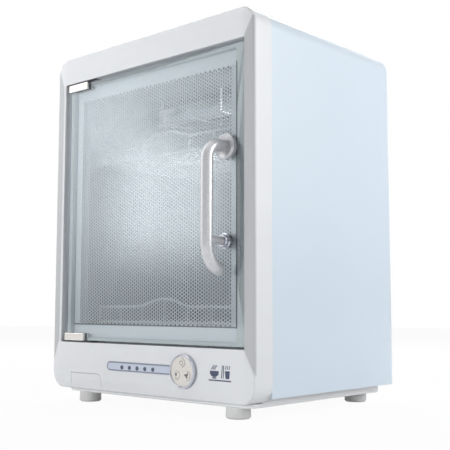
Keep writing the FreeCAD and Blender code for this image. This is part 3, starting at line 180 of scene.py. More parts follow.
class CabinetStage(bpy.types.PropertyGroup):
    """Camera and light."""

    eye: bpy.props.FloatVectorProperty(
        name="Eye", description="Camera's place", subtype="TRANSLATION", size=3,
        default=(0.8268, -0.8951, 0.1349))
    heading: bpy.props.FloatProperty(
        name="Heading", description="Camera's turn to the left of +Y", subtype="ANGLE",
        default=math.radians(42.065))
    lift: bpy.props.FloatProperty(
        name="Lift", description="Camera's tilt upwards", subtype="ANGLE", default=math.radians(5.516))
    roll: bpy.props.FloatProperty(
        name="Roll", description="Camera's roll", subtype="ANGLE", default=math.radians(0.113))
    lens: bpy.props.FloatProperty(
        name="Lens", description="Focal length in millimetres on a 36 mm sensor", default=67.55)
    side_power: bpy.props.FloatProperty(
        name="Side lamp", description="Lamp right of the cabinet", default=18.5, unit="POWER")
    rear_power: bpy.props.FloatProperty(
        name="Rear lamp", description="Lamp behind and left of the cabinet", default=26.0, unit="POWER")
    front_power: bpy.props.FloatProperty(
        name="Front lamp", description="Lamp in front", default=11.0, unit="POWER")
    upper_power: bpy.props.FloatProperty(
        name="Upper lamp", description="Lamp over the front's left corner", default=0.8, unit="POWER")
    lower_power: bpy.props.FloatProperty(
        name="Lower lamp", description="Lamp near the floor in front", default=1.2, unit="POWER")
    inner_power: bpy.props.FloatProperty(
        name="Inner lamp", description="Lamp at the chamber's right wall", default=0.24, unit="POWER")
    rack_power: bpy.props.FloatProperty(
        name="Rack lamp", description="Lamp over the racks' front rails", default=0.24, unit="POWER")
    room_level: bpy.props.FloatProperty(name="Room", description="Level of the room's light", default=0.2)


# ---- shader maths ----

class Value:
    """A number, colour or vector that changes over a surface, used with ordinary operators."""

    def __init__(self, paint, socket):
        self.paint = paint
        self.socket = socket

    def maths(self, operation, *values):
        return self.paint.node("ShaderNodeMath", {"operation": operation}, values)

    def __add__(self, other):
        return self.maths("ADD", self, other)

    def __radd__(self, other):
        return self.maths("ADD", other, self)

    def __sub__(self, other):
        return self.maths("SUBTRACT", self, other)

    def __rsub__(self, other):
        return self.maths("SUBTRACT", other, self)

    def __mul__(self, other):
        return self.maths("MULTIPLY", self, other)

    def __rmul__(self, other):
        return self.maths("MULTIPLY", other, self)

    def __pow__(self, other):
        return self.maths("POWER", self, other)

    def __gt__(self, other):
        return self.maths("GREATER_THAN", self, other)

    def size(self):
        return self.maths("ABSOLUTE", self)

    def at_least(self, other):
        return self.maths("MAXIMUM", self, other)

    def clamped(self):
        return self.paint.node("ShaderNodeClamp", {}, [self, 0.0, 1.0])


class Paint:
    """A material, or the room around the stage, whose nodes are made by plain calls."""

    def __init__(self, name, kind="Material"):
        store = bpy.data.worlds if kind == "World" else bpy.data.materials
        self.result = store.new(name)
        self.result.use_nodes = True
        self.tree = self.result.node_tree
        self.tree.nodes.clear()
        self.output = self.tree.nodes.new("ShaderNodeOutput" + kind)

    def node(self, kind, settings=None, values=(), out=0):
        made = self.tree.nodes.new(kind)
        for name, setting in (settings or {}).items():
            setattr(made, name, setting)
        pairs = values.items() if isinstance(values, dict) else enumerate(values)
        for key, value in pairs:
            if isinstance(value, Value):
                self.tree.links.new(value.socket, made.inputs[key])
            else:
                made.inputs[key].default_value = value
        return Value(self, made.outputs[out])

    def coordinates(self):
        return self.node("ShaderNodeTexCoord", out="Object")

    def axis(self, letter):
        return self.node("ShaderNodeSeparateXYZ", values=[self.coordinates()], out=letter)

    def stretched(self, scale):
        return self.node("ShaderNodeMapping", {"vector_type": "POINT"},
                         {"Vector": self.coordinates(), "Scale": scale})

    def noise(self, scale, detail=2.0, roughness=0.5, vector=None):
        return self.node("ShaderNodeTexNoise", {}, {
            "Vector": vector or self.coordinates(), "Scale": scale, "Detail": detail, "Roughness": roughness})

    def cells(self, scale, feature="F1", out="Distance"):
        return self.node("ShaderNodeTexVoronoi", {"feature": feature},
                         {"Vector": self.coordinates(), "Scale": scale}, out=out)

    def step(self, value, low, high, start=0.0, end=1.0):
        """Goes softly from start to end as the value goes from low to high."""
        return self.node("ShaderNodeMapRange", {"interpolation_type": "SMOOTHSTEP"},
                         [value, low, high, start, end])

    def blend(self, amount, first, second):
        return self.node("ShaderNodeMix", {"data_type": "RGBA"}, {0: amount, 6: first, 7: second}, out=2)

    def bump(self, height, distance):
        return self.node("ShaderNodeBump", {}, {"Strength": 1.0, "Distance": distance, "Height": height})

    def surface(self, **sockets):
        return self.node("ShaderNodeBsdfPrincipled", {},
                         {name.replace("_", " "): value for name, value in sockets.items()})

    def finish(self, shader):
        self.tree.links.new(shader.socket, self.output.inputs["Surface"])
        return self.result


def opaque(colour, gain=1.0):
    return (*(min(1.0, channel * gain) for channel in colour), 1.0)


# ---- finishes ----

def moulded_plastic(name, colour, roughness, grain=GRAIN, tint=0.03):
    """Injection-moulded plastic: fine spark-eroded grain, faint clouding in colour and gloss."""
    paint = Paint(name)
    cloud = paint.noise(22.0, detail=3.0)
    texture = paint.noise(1700.0, detail=1.0)
    shade = paint.blend(cloud, opaque(colour, 1 - tint), opaque(colour, 1 + tint))
    return paint.finish(paint.surface(
        Base_Color=shade, Roughness=roughness - 0.04 + 0.08 * cloud, Specular_IOR_Level=0.5,
        Normal=paint.bump(texture, grain)))


def frame_moulding(name, colour):
    """Front frame's plastic with painted shade: the narrow strips beside the door are painted greyer, and
    this painted shade runs out at the corners.
    """
    paint = Paint(name)
    cloud = paint.noise(22.0, detail=3.0)
    texture = paint.noise(1700.0, detail=1.0)
    shade = paint.blend(cloud, opaque(colour, 0.97), opaque(colour, 1.03))
    height = paint.axis("Z")
    # Mask of the strips beside the door, where shade is painted into the colour
    above = (height - GLASS_HIGH.z).at_least(GLASS_LOW.z - height).at_least(0.0)
    beside = paint.axis("X").size() - GLASS_HIGH.x
    strip = paint.step(beside * 2.0 - above, -4 * MM, 3 * MM)
    face = paint.step(paint.axis("Y"), FRONT_Y + 4 * MM, FRONT_Y + 8 * MM, 1.0, 0.0)
    with_painted_shade = paint.blend(strip * face, shade, opaque(colour, STRIP_PAINTED_SHADE))
    return paint.finish(paint.surface(
        Base_Color=with_painted_shade, Roughness=0.32 + 0.08 * cloud, Specular_IOR_Level=0.5,
        Normal=paint.bump(texture, GRAIN)))


def pearl_lacquer(name, colour):
    """Moulding under a silvery pearl lacquer: half metal, with a clear gloss."""
    paint = Paint(name)
    flakes = paint.cells(2400.0, out="Color")
    glitter = paint.node("ShaderNodeSeparateColor", {}, [flakes], out="Red")
    shade = paint.blend(glitter, opaque(colour, 0.95), opaque(colour, 1.05))
    return paint.finish(paint.surface(
        Base_Color=shade, Metallic=0.3, Roughness=0.22 + 0.06 * glitter, Coat_Weight=0.5, Coat_Roughness=0.04,
        Normal=paint.bump(paint.noise(180.0), WIPE)))


def enamelled_steel(name, colour):
    """Sprayed and baked enamel: soft orange peel under an even gloss."""
    paint = Paint(name)
    peel = paint.noise(420.0, detail=1.5)
    cloud = paint.noise(9.0, detail=2.0)
    shade = paint.blend(cloud, opaque(colour, 0.985), opaque(colour, 1.015))
    return paint.finish(paint.surface(
        Base_Color=shade, Roughness=0.3 + 0.08 * cloud, Coat_Weight=0.25, Coat_Roughness=0.12,
        Normal=paint.bump(peel, 0.06 * MM)))


def galvanized_sheet(name):
    """Zinc-coated sheet with a faint spangle."""
    paint = Paint(name)
    crystals = paint.cells(260.0, out="Color")
    spangle = paint.node("ShaderNodeSeparateColor", {}, [crystals], out="Red")
    shade = paint.blend(spangle, (0.56, 0.575, 0.59, 1), (0.64, 0.655, 0.67, 1))
    return paint.finish(paint.surface(
        Base_Color=shade, Metallic=0.6, Roughness=0.38 + 0.12 * spangle))


def brushed_metal(name, colour, roughness, along=(4.0, 900.0, 900.0)):
    """Sheet metal brushed along one direction."""
    paint = Paint(name)
    strokes = paint.noise(1.0, detail=4.0, roughness=0.6, vector=paint.stretched(along))
    shade = paint.blend(strokes, opaque(colour, 0.9), opaque(colour, 1.08))
    return paint.finish(paint.surface(
        Base_Color=shade, Metallic=1.0, Roughness=roughness - 0.08 + 0.16 * strokes,
        Normal=paint.bump(strokes, GRAIN)))


def plated_wire(name, colour):
    """Rack wire with a bright, slightly milky plating."""
    paint = Paint(name)
    wipes = paint.noise(60.0, detail=3.0)
    shade = paint.blend(wipes, opaque(colour, 0.95), opaque(colour, 1.06))
    return paint.finish(paint.surface(
        Base_Color=shade, Metallic=0.5, Roughness=0.15 + 0.1 * wipes,
        Normal=paint.bump(paint.noise(300.0), WIPE)))


def satin_steel(name, colour, painted_light_gain):
    """Pickled sheet: a satin surface between a mirror and a matt grey, with painted light: the colour is
    lightened high up on the left wall.
    """
    paint = Paint(name)
    strokes = paint.noise(1.0, detail=4.0, roughness=0.6, vector=paint.stretched((700.0, 700.0, 6.0)))
    clouds = paint.noise(18.0, detail=3.0)
    shade = paint.blend(clouds, opaque(colour, 0.94), opaque(colour, 1.05))
    # Painted light: a pool of light painted into the colour high up on the left wall
    painted_light_mask = (paint.step(paint.axis("X"), LINER_LOW.x, LINER_LOW.x / 3, 1.0, 0.0)
                * paint.step(paint.axis("Z"), LINER_LOW.z, LINER_HIGH.z * 0.8))
    shade = paint.blend(painted_light_mask, shade, opaque(colour, painted_light_gain))
    return paint.finish(paint.surface(
        Base_Color=shade, Metallic=0.3, Roughness=0.36 + 0.14 * strokes,
        Normal=paint.bump(strokes, 0.02 * MM)))


def polished_metal(name, colour, roughness):
    """Bright plating with faint wipe marks."""
    paint = Paint(name)
    wipes = paint.noise(60.0, detail=3.0)
    return paint.finish(paint.surface(
        Base_Color=opaque(colour), Metallic=1.0, Roughness=roughness + 0.1 * wipes ** 2.0,
        Normal=paint.bump(paint.noise(300.0), WIPE)))


def coated_screen(name, colour, right, half, under):
    """Powder-coated metal, mottled, with a painted shadow line right of the holes' field and, if under, below
    it too.

    The field ends at right, and reaches half its height up and down from the screen's middle.
    """
    paint = Paint(name)
    mottle = paint.noise(35.0, detail=3.0)
    powder = paint.noise(2600.0, detail=1.0)
    shade = paint.blend(mottle, opaque(colour, 0.96), opaque(colour, 1.05))
    across = paint.axis("X")
    off_middle = paint.axis("Z") - (SCREEN_LOW.z + SCREEN_HIGH.z) / 2
    inside = (paint.step(across, right + 4 * SHADOW_LINE_STEP, right + 6 * SHADOW_LINE_STEP, 1.0, 0.0)
              * paint.step(off_middle.size(), half + 3 * SHADOW_LINE_STEP, half + 4 * SHADOW_LINE_STEP, 1.0, 0.0))
    # Painted shadow: a dark line painted at the edge of the holes' field
    line = paint.step(across, right - SHADOW_LINE_STEP, right)
    if under:
        line = line.at_least(paint.step(off_middle, -half, SHADOW_LINE_STEP - half, 1.0, 0.0))
    shade = paint.blend(line * inside, shade, opaque(colour, SHADOW_LINE_TONE))
    return paint.finish(paint.surface(
        Base_Color=shade, Metallic=0.15, Roughness=0.42 + 0.1 * mottle, Normal=paint.bump(powder, GRAIN)))


def float_glass(name):
    """Clear pane: see-through, with a faintly blue reflection that grows towards grazing angles."""
    paint = Paint(name)
    smears = paint.noise(14.0, detail=4.0)
    grazing = paint.node("ShaderNodeLayerWeight", {}, {"Blend": 0.5}, out="Facing")
    clear = paint.node("ShaderNodeBsdfTransparent", {}, {"Color": (0.965, 0.98, 0.985, 1)})
    gloss = paint.surface(Base_Color=(0.87, 0.93, 1.0, 1), Metallic=1.0, Roughness=0.03 + 0.03 * smears)
    amount = 0.085 + 0.03 * smears + 0.85 * grazing ** 5.0
    return paint.finish(paint.node("ShaderNodeMixShader", {}, [amount, clear, gloss]))


def tube_glass(name):
    """Lamp's quartz tube: clear, with a milky inside."""
    paint = Paint(name)
    edge = paint.node("ShaderNodeLayerWeight", {}, {"Blend": 0.35}, out="Facing")
    clear = paint.node("ShaderNodeBsdfTransparent", {}, {"Color": (0.95, 0.97, 1.0, 1)})
    body = paint.surface(Base_Color=(0.82, 0.86, 0.93, 1), Roughness=0.06 + 0.05 * paint.noise(50.0))
    return paint.finish(paint.node("ShaderNodeMixShader", {}, [(0.35 + 0.6 * edge).clamped(), clear, body]))


def soft_rubber(name, colour):
    """Moulded rubber with a dusty bloom."""
    paint = Paint(name)
    bloom = paint.noise(90.0, detail=4.0)
    shade = paint.blend(bloom, opaque(colour, 0.92), opaque(colour, 1.1))
    return paint.finish(paint.surface(
        Base_Color=shade, Roughness=0.62 + 0.12 * bloom, Specular_IOR_Level=0.35,
        Normal=paint.bump(paint.noise(900.0), 0.05 * MM)))


def circuit_board(name):
    """Solder mask over copper tracks."""
    paint = Paint(name)
    tracks = paint.cells(260.0, feature="DISTANCE_TO_EDGE")
    mask = tracks > 0.09
    shade = paint.blend(mask, (0.06, 0.24, 0.11, 1), (0.015, 0.12, 0.05, 1))
    return paint.finish(paint.surface(Base_Color=shade, Roughness=0.3 + 0.15 * mask))


def printed_film(name, colour):
    """Control strip's film: matt print under a clear satin layer."""
    paint = Paint(name)
    mottle = paint.noise(240.0, detail=2.0)
    shade = paint.blend(mottle, opaque(colour, 0.97), opaque(colour, 1.03))
    return paint.finish(paint.surface(Base_Color=shade, Roughness=0.26 + 0.1 * mottle, Coat_Weight=0.3))


def tinted_lens(name, colour):
    """Small moulded lens over a lamp that is off."""
    paint = Paint(name)
    depth = paint.noise(700.0)
    shade = paint.blend(depth, opaque(colour, 0.8), opaque(colour, 1.3))
    return paint.finish(paint.surface(Base_Color=shade, Roughness=0.12 + 0.06 * depth, Coat_Weight=0.5))


def cast_iron(name):
    """Varnished transformer iron."""
    paint = Paint(name)
    layers = paint.noise(1.0, detail=2.0, vector=paint.stretched((3.0, 3.0, 900.0)))
    shade = paint.blend(layers, (0.10, 0.085, 0.07, 1), (0.2, 0.17, 0.14, 1))
    return paint.finish(paint.surface(
        Base_Color=shade, Metallic=0.5, Roughness=0.4 + 0.2 * layers, Normal=paint.bump(layers, 0.1 * MM)))


def finishes(colours, sizes):
    """Every CAD node's finish, by the record's material slot."""
    right, half = screen_field(sizes)[2:]
    return {
        "white_plastic": frame_moulding("moulded white", colours.frame),
        "blue_steel": enamelled_steel("pale blue enamel", colours.wrap),
        "zinc_sheet": galvanized_sheet("zinc sheet"),
        "base_plastic": moulded_plastic("base plastic", (0.78, 0.79, 0.805), 0.45),
        "rubber": soft_rubber("foot rubber", (0.68, 0.68, 0.68)),
        "screws": brushed_metal("screw steel", (0.55, 0.55, 0.56), 0.32, (900.0, 900.0, 20.0)),
        "liner_steel": satin_steel("liner steel", (0.28, 0.295, 0.31), 2.0),
        "wire_chrome": plated_wire("rack plating", (0.93, 0.94, 0.95)),
        "lamp_glass": tube_glass("lamp glass"),
        "lamp_ends": brushed_metal("lamp caps", (0.75, 0.75, 0.76), 0.3),
        "holder_plastic": moulded_plastic("holder plastic", (0.72, 0.72, 0.7), 0.5),
        "reflector": polished_metal("reflector sheet", (0.86, 0.87, 0.88), 0.12),
        "black_plastic": moulded_plastic("black plastic", (0.025, 0.025, 0.028), 0.42, tint=0.1),
        "heater_ceramic": moulded_plastic("heater ceramic", (0.6, 0.57, 0.5), 0.75, 0.1 * MM, 0.06),
        "ballast_tin": brushed_metal("ballast tin", (0.7, 0.7, 0.68), 0.4),
        "transformer_iron": cast_iron("transformer iron"),
        "board_green": circuit_board("circuit board"),
        "brass": polished_metal("brass", (0.72, 0.55, 0.25), 0.22),
        "lens_amber": tinted_lens("indicator lens", (0.07, 0.08, 0.13)),
        "led_clear": tinted_lens("led", (0.6, 0.6, 0.56)),
        "strip_film": printed_film("strip film", (0.52, 0.57, 0.68)),
        "bright_ring": polished_metal("bright plating", (0.55, 0.56, 0.62), 0.12),
        "key_face": moulded_plastic("disc face", (0.70, 0.675, 0.645), 0.34),
        "key_caps": moulded_plastic("key caps", (0.72, 0.695, 0.665), 0.32),
        "tray_plastic": moulded_plastic("tray plastic", (0.64, 0.66, 0.68), 0.3),
        "guide_plastic": moulded_plastic("guide plastic", (0.5, 0.5, 0.5), 0.5),
        "spout_rubber": soft_rubber("spout rubber", (0.5, 0.5, 0.49)),
        "door_glass": float_glass("pane"),
        "door_alloy": coated_screen("door frame coat", colours.door_frame, SCREEN_HIGH.x, half, False),
        "screen_grey": coated_screen("screen coat", colours.screen, right, half, True),
        "seal_rubber": soft_rubber("seal rubber", (0.60, 0.63, 0.62)),
        "hinge_chrome": polished_metal("hinge plating", (0.86, 0.83, 0.80), 0.14),
        # Pivot brackets: steel coloured near black, so that they also stand for painted shadow beside the
        # hinge clips
        "pivot_steel": brushed_metal("pivot steel", (0.1, 0.1, 0.105), 0.4),
        "handle_plastic": pearl_lacquer("grip lacquer", colours.grip),
        "magnet_ferrite": moulded_plastic("ferrite", (0.05, 0.05, 0.052), 0.6, 0.1 * MM, 0.1),
    }


# ---- making pieces ----

def dress(piece, name, body, material, replaced=()):
    """Names a finished piece, gives it its finish and hangs it on its body."""
    piece.name = name
    piece.data.name = name
    if not piece.data.materials:
        piece.data.materials.append(material)
    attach(piece, body)
    if replaced:
        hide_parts(*replaced)
    return piece


def link(mesh):
    piece = bpy.data.objects.new(mesh.name, mesh)
    bpy.context.scene.collection.objects.link(piece)
    return piece


def made_of(form, name):
    """The piece whose faces were drawn in this bmesh."""
    mesh = bpy.data.meshes.new(name)
    form.to_mesh(mesh)
    form.free()
    return link(mesh)


class Tree:
    """A Geometry Nodes tree made by plain calls."""

    def __init__(self, name, sizes):
        self.group = bpy.data.node_groups.new(name, "GeometryNodeTree")
        self.group.is_modifier = True
        face = self.group.interface
        face.new_socket("Geometry", in_out="INPUT", socket_type="NodeSocketGeometry")
        face.new_socket("Geometry", in_out="OUTPUT", socket_type="NodeSocketGeometry")
        kinds = {size: "NodeSocketInt" if size.endswith(("count", "sides")) else "NodeSocketFloat"
                 for size in sizes}
        kinds["material"] = "NodeSocketMaterial"
        self.sockets = {size: face.new_socket(size, in_out="INPUT", socket_type=kind).identifier
                        for size, kind in kinds.items()}
        self.inputs = self.group.nodes.new("NodeGroupInput")
        self.outputs = self.group.nodes.new("NodeGroupOutput")

    def size(self, name):
        return Value(self, self.inputs.outputs[name])

    def places(self):
        """Points that the tree is given when it runs."""
        return self.size("Geometry")

    def node(self, kind, settings=None, values=(), out=0):
        made = self.group.nodes.new(kind)
        for name, setting in (settings or {}).items():
            setattr(made, name, setting)
        pairs = values.items() if isinstance(values, dict) else enumerate(values)
        for key, value in pairs:
            sources = value if isinstance(value, list) else [value]
            for source in sources:
                if isinstance(source, Value):
                    self.group.links.new(source.socket, made.inputs[key])
                else:
                    made.inputs[key].default_value = source
        return Value(self, made.outputs[out])

    def vector(self, x=0.0, y=0.0, z=0.0):
        return self.node("ShaderNodeCombineXYZ", {}, [x, y, z])

    def moved(self, geometry, offset):
        return self.node("GeometryNodeSetPosition", {}, {"Geometry": geometry, "Offset": offset})

    def line(self, count, start, step):
        return self.node("GeometryNodeMeshLine", {}, {
            "Count": count, "Start Location": start, "Offset": step})

    def flat(self, width, height):
        return self.node("GeometryNodeMeshGrid", {}, {
            "Size X": width, "Size Y": height, "Vertices X": 2, "Vertices Y": 2})

    def real(self, geometry):
        return self.node("GeometryNodeRealizeInstances", {}, [geometry])

    def joined(self, *geometries):
        return self.node("GeometryNodeJoinGeometry", {}, {"Geometry": list(geometries)})

    def welded(self, geometry):
        return self.node("GeometryNodeMergeByDistance", {}, {"Geometry": geometry, "Distance": 0.01 * MM})

    def make(self, name, geometry, values, places=()):
        """Runs the tree on these points with these input values and returns the plain mesh object."""
        finished = self.node("GeometryNodeSetMaterial", {}, {
            "Geometry": self.real(geometry), "Material": self.size("material")})
        self.group.links.new(finished.socket, self.outputs.inputs[0])
        seed = bpy.data.meshes.new(name + "_seed")
        seed.from_pydata(places, [], [])
        carrier = link(seed)
        modifier = carrier.modifiers.new(name, "NODES")
        modifier.node_group = self.group
        for size, value in values.items():
            modifier[self.sockets[size]] = value
        made = bpy.data.meshes.new_from_object(carrier.evaluated_get(bpy.context.evaluated_depsgraph_get()))
        carrier.modifiers.remove(modifier)
        carrier.data = made
        bpy.data.meshes.remove(seed)
        return carrier


def screen_field(sizes):
    """Pairs of columns, holes in a column, and the right end and half height of the field of holes."""
    low, high, pitch = SCREEN_LOW, SCREEN_HIGH, sizes.hole_pitch
    pair = 2 * pitch * ROW_SLANT
    pairs = int((high.x - low.x - sizes.screen_left - sizes.screen_right) / pair)
    rows = int((high.z - low.z - 2 * sizes.screen_ends) / pitch)
    return pairs, rows, low.x + sizes.screen_left + pairs * pair, rows * pitch / 2


def build_screen(sizes, material):
    """Door's screen: a sheet with columns of staggered round holes inside a plain border."""
    low, high = SCREEN_LOW, SCREEN_HIGH
    pairs, rows = screen_field(sizes)[:2]
    tree = Tree("perforated sheet", (
        "pairs_count", "rows_count", "hole_sides", "pitch", "radius", "left", "width", "height", "thickness"))
    gap = tree.size("pitch") * ROW_SLANT
    field_width = tree.size("pairs_count") * 2.0 * gap
    right = tree.size("width") - tree.size("left") - field_width
    hole = tree.node("GeometryNodeCurvePrimitiveCircle", {}, {
        "Resolution": tree.size("hole_sides"), "Radius": tree.size("radius")})
    edge = tree.node("GeometryNodeCurvePrimitiveQuadrilateral", {}, {
        "Width": gap, "Height": tree.size("height")})
    strips = []
    for column, stagger in ((0.5, 0.25), (1.5, -0.25)):
        lowest = tree.size("pitch") * (stagger + 0.5) - tree.size("rows_count") * 0.5 * tree.size("pitch")
        places = tree.line(tree.size("rows_count"), tree.vector(y=lowest), tree.vector(y=tree.size("pitch")))
        holes = tree.real(tree.node("GeometryNodeInstanceOnPoints", {}, {"Points": places, "Instance": hole}))
        strip = tree.node("GeometryNodeFillCurve", {}, {"Curve": tree.joined(holes, edge)})
        columns = tree.line(tree.size("pairs_count"), tree.vector(x=tree.size("left") + column * gap),
                            tree.vector(x=2.0 * gap))
        strips.append(tree.node("GeometryNodeInstanceOnPoints", {}, {"Points": columns, "Instance": strip}))
    borders = [
        tree.moved(tree.flat(tree.size("left"), tree.size("height")), tree.vector(x=tree.size("left") * 0.5)),
        tree.moved(tree.flat(right, tree.size("height")), tree.vector(x=tree.size("width") - right * 0.5))]
    sheet = tree.welded(tree.real(tree.joined(*strips, *borders)))
    back = tree.node("GeometryNodeExtrudeMesh", {}, {
        "Mesh": sheet, "Offset Scale": tree.size("thickness"), "Individual": False})
    front = tree.node("GeometryNodeFlipFaces", {}, [sheet])
    screen = tree.make("screen", tree.welded(tree.joined(back, front)), {
        "pairs_count": pairs, "rows_count": rows, "hole_sides": sizes.hole_sides, "pitch": sizes.hole_pitch,
        "radius": sizes.hole_radius, "left": sizes.screen_left, "width": high.x - low.x,
        "height": high.z - low.z, "thickness": sizes.screen_sheet, "material": material})
    upright = Matrix.Rotation(math.radians(90), 4, "X")
    screen.data.transform(Matrix.Translation((low.x, high.y, (low.z + high.z) / 2)) @ upright)
    return screen


def solid_boxes(node):
    """Lowest and highest corner of each separate solid of a CAD node."""
    form = bmesh.new()
    form.from_mesh(CAD[node].data)
    bmesh.ops.remove_doubles(form, verts=form.verts, dist=0.001 * MM)
    left = set(form.verts)
    boxes = []
    while left:
        reached = [left.pop()]
        for vert in reached:
            beside = {edge.other_vert(vert) for edge in vert.link_edges} & left
            left -= beside
            reached.extend(beside)
        corners = [[pick(vert.co[axis] for vert in reached) for axis in range(3)] for pick in (min, max)]
        boxes.append([Vector(corner) for corner in corners])
    form.free()
    return sorted(boxes, key=lambda box: tuple(box[0]))


def build_screws(name, node, facing, head, material):
    """Cross-head screws in place of a CAD node's plain ones; facing is where their heads look.

    A screw is modelled upright at the origin: its head is a cone with two crossed slots, over a round shank.
    """
    turn = Vector((0, 0, 1)).rotation_difference(Vector(facing)).to_matrix().to_4x4()
    back = turn.inverted()
    boxes = [[back @ corner for corner in corners] for corners in solid_boxes(node)]
    spans = [[sorted(ends) for ends in zip(*corners)] for corners in boxes]
    places = [((x[0] + x[1]) / 2, (y[0] + y[1]) / 2, z[1] - head) for x, y, z in spans]
    across, upright = spans[0][0], spans[0][2]
    radius = (across[1] - across[0]) / 2
    length = upright[1] - upright[0] - head

    tree = Tree(name, ("radius", "head", "length"))
    size = tree.size("radius")
    high = tree.size("head")
    pan = tree.node("GeometryNodeMeshCone", {}, {
        "Vertices": 32, "Radius Top": size * 0.72, "Radius Bottom": size, "Depth": high})
    # Two cutters: length and width over the head's radius, and their middle's height over the head's
    slots = []
    for wide, deep, lift in ((1.1, 0.26, 0.95), (0.26, 1.1, 0.98)):
        slot = tree.node("GeometryNodeMeshCube", {}, {"Size": tree.vector(size * wide, size * deep, high)})
        slots.append(tree.moved(slot, tree.vector(z=high * lift)))
    crossed = tree.node("GeometryNodeMeshBoolean", {"operation": "DIFFERENCE"}, {
        "Mesh 1": pan, "Mesh 2": slots})
    shank = tree.node("GeometryNodeMeshCylinder", {}, {
        "Vertices": 16, "Radius": size * 0.46, "Depth": tree.size("length")})
    screw = tree.joined(crossed, tree.moved(shank, tree.vector(z=tree.size("length") * -0.5)))
    lean = tree.node("GeometryNodeInputIndex") * 1.1
    screws = tree.node("GeometryNodeInstanceOnPoints", {}, {
        "Points": tree.places(), "Instance": screw, "Rotation": tree.vector(z=lean)})
    values = {"radius": radius, "head": head, "length": length, "material": material}
    made = tree.make(name, screws, values, places)
    made.data.transform(turn)
    return made


class Print:
    """Printed marks that lie on the surface of CAD nodes, drawn in millimetres on the front plane."""

    def __init__(self, nodes, depth):
        self.depth = depth
        self.form = bmesh.new()
        self.grounds = []
        for node in nodes:
            surface = bmesh.new()
            surface.from_mesh(CAD[node].data)
            self.grounds.append(BVHTree.FromBMesh(surface))
            surface.free()

    def ground(self, x, z):
        """Foremost surface behind this point of the front plane."""
        start = Vector((x, CAD_BOX[0][1] - MM, z))
        hits = [tree.ray_cast(start, Vector((0, 1, 0)))[0] for tree in self.grounds]
        return min(hit.y for hit in hits if hit)

    def band(self, left, right, closed=False):
        """Ink between two lines with the same number of points."""
        rows = []
        for points in zip(left, right):
            places = [(x * MM, z * MM) for x, z in points]
            levels = [self.ground(x, z) for x, z in places]
            rows.append([
                [self.form.verts.new((x, level - self.depth, z)) for (x, z), level in zip(places, levels)],
                [self.form.verts.new((x, level + self.depth, z)) for (x, z), level in zip(places, levels)]])
        pairs = list(zip(rows, rows[1:] + rows[:1] if closed else rows[1:]))
        for (face, back), (next_face, next_back) in pairs:
            self.form.faces.new((face[0], face[1], next_face[1], next_face[0]))
            self.form.faces.new((back[0], next_back[0], next_back[1], back[1]))
            self.form.faces.new((face[0], next_face[0], next_back[0], back[0]))
            self.form.faces.new((face[1], back[1], next_back[1], next_face[1]))
        if not closed:
            for face, back in (rows[0], rows[-1]):
                self.form.faces.new((face[0], back[0], back[1], face[1]))

    def bar(self, start, end, width, steps=6):
        """Straight stroke."""
        run = Vector(end) - Vector(start)
        side = Vector((-run.y, run.x)).normalized() * width / 2
        points = [Vector(start) + run * step / steps for step in range(steps + 1)]
        self.band([point + side for point in points], [point - side for point in points])

    def arc(self, middle, inner, outer, start=0, turn=360, steps=36):
        """Part of a ring, or a whole one."""
        closed = turn == 360
        angles = [math.radians(start + turn * step / steps) for step in range(steps if closed else steps + 1)]
        x, z = middle
        rings = [[(x + radius * math.cos(angle), z + radius * math.sin(angle)) for angle in angles]
                 for radius in (inner, outer)]
        self.band(*rings, closed)

    def leaf(self, root, heading, length, width, bend=0.0, steps=10):
        """Blade or drop that swells and closes, curving to one side."""
        left, right = [], []
        for step in range(steps + 1):
            part = step / steps
            angle = math.radians(heading + bend * part)
            middle = Vector(root) + Vector((math.cos(angle), math.sin(angle))) * length * (0.04 + 0.96 * part)
            swell = math.sin(math.pi * (0.04 + 0.92 * part ** 0.75))
            side = Vector((-math.sin(angle), math.cos(angle))) * (width / 2 * swell)
            left.append(middle + side)
            right.append(middle - side)
        self.band(left, right)

    def finish(self, name):
        bmesh.ops.recalc_face_normals(self.form, faces=self.form.faces)
        return made_of(self.form, name)


def strip_edge(left, right, low, high, inset, steps=16):
    """Line along a bar's top, round its left end and back along its bottom, an inset in from its edge."""
    radius = (high - low) / 2
    middle = (high + low) / 2
    bend = left + radius
    reach = radius - inset
    points = [(bend + (right - left - radius) * step / steps, high - inset) for step in range(steps, 0, -1)]
    for step in range(steps + 1):
        angle = math.radians(90 + 180 * step / steps)
        points.append((bend + reach * math.cos(angle), middle + reach * math.sin(angle)))
    return points + [(x, 2 * middle - z) for x, z in reversed(points[:steps])]


def middle_mm(node):
    """Middle of a CAD node on the front plane, in millimetres."""
    low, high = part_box(node)
    return (low.x + high.x) / 2 / MM, (low.z + high.z) / 2 / MM


# ---- operators: one for each piece or group of like pieces ----

class CABINET_OT_finishes(bpy.types.Operator):
    """Give every CAD node its finish."""

    bl_idname = "cabinet.finishes"
    bl_label = "Finishes"

    def execute(self, context):
        made = finishes(context.scene.cabinet_colours, context.scene.cabinet_sizes)
        for part in frame["record"]["subparts"]:
            node = CAD[part["node"]]
            node.data.materials.clear()
            node.data.materials.append(made[part["material_slot"]])
        return {"FINISHED"}


class CABINET_OT_screen(bpy.types.Operator):
    """Make the door's perforated screen."""

    bl_idname = "cabinet.screen"
    bl_label = "Perforated screen"

    def execute(self, context):
        material = CAD["door_screen"].data.materials[0]
        screen = build_screen(context.scene.cabinet_sizes, material)
        dress(screen, "perforated_screen", "door", material, ["door_screen"])
        return {"FINISHED"}


class CABINET_OT_screws(bpy.types.Operator):
    """Make the cross-head screws of the rear panel and of the feet."""

    bl_idname = "cabinet.screws"
    bl_label = "Screws"

    def execute(self, context):
        sizes = context.scene.cabinet_sizes
        for name, node, facing, head in (
                ("rear_cross_screws", "rear_panel_screws", (0, 1, 0), sizes.rear_head),
                ("foot_cross_screws", "foot_screws", (0, 0, -1), sizes.foot_head)):
            material = CAD[node].data.materials[0]
            screws = build_screws(name, node, facing, head, material)
            dress(screws, name, "cabinet", material, [node])
        return {"FINISHED"}


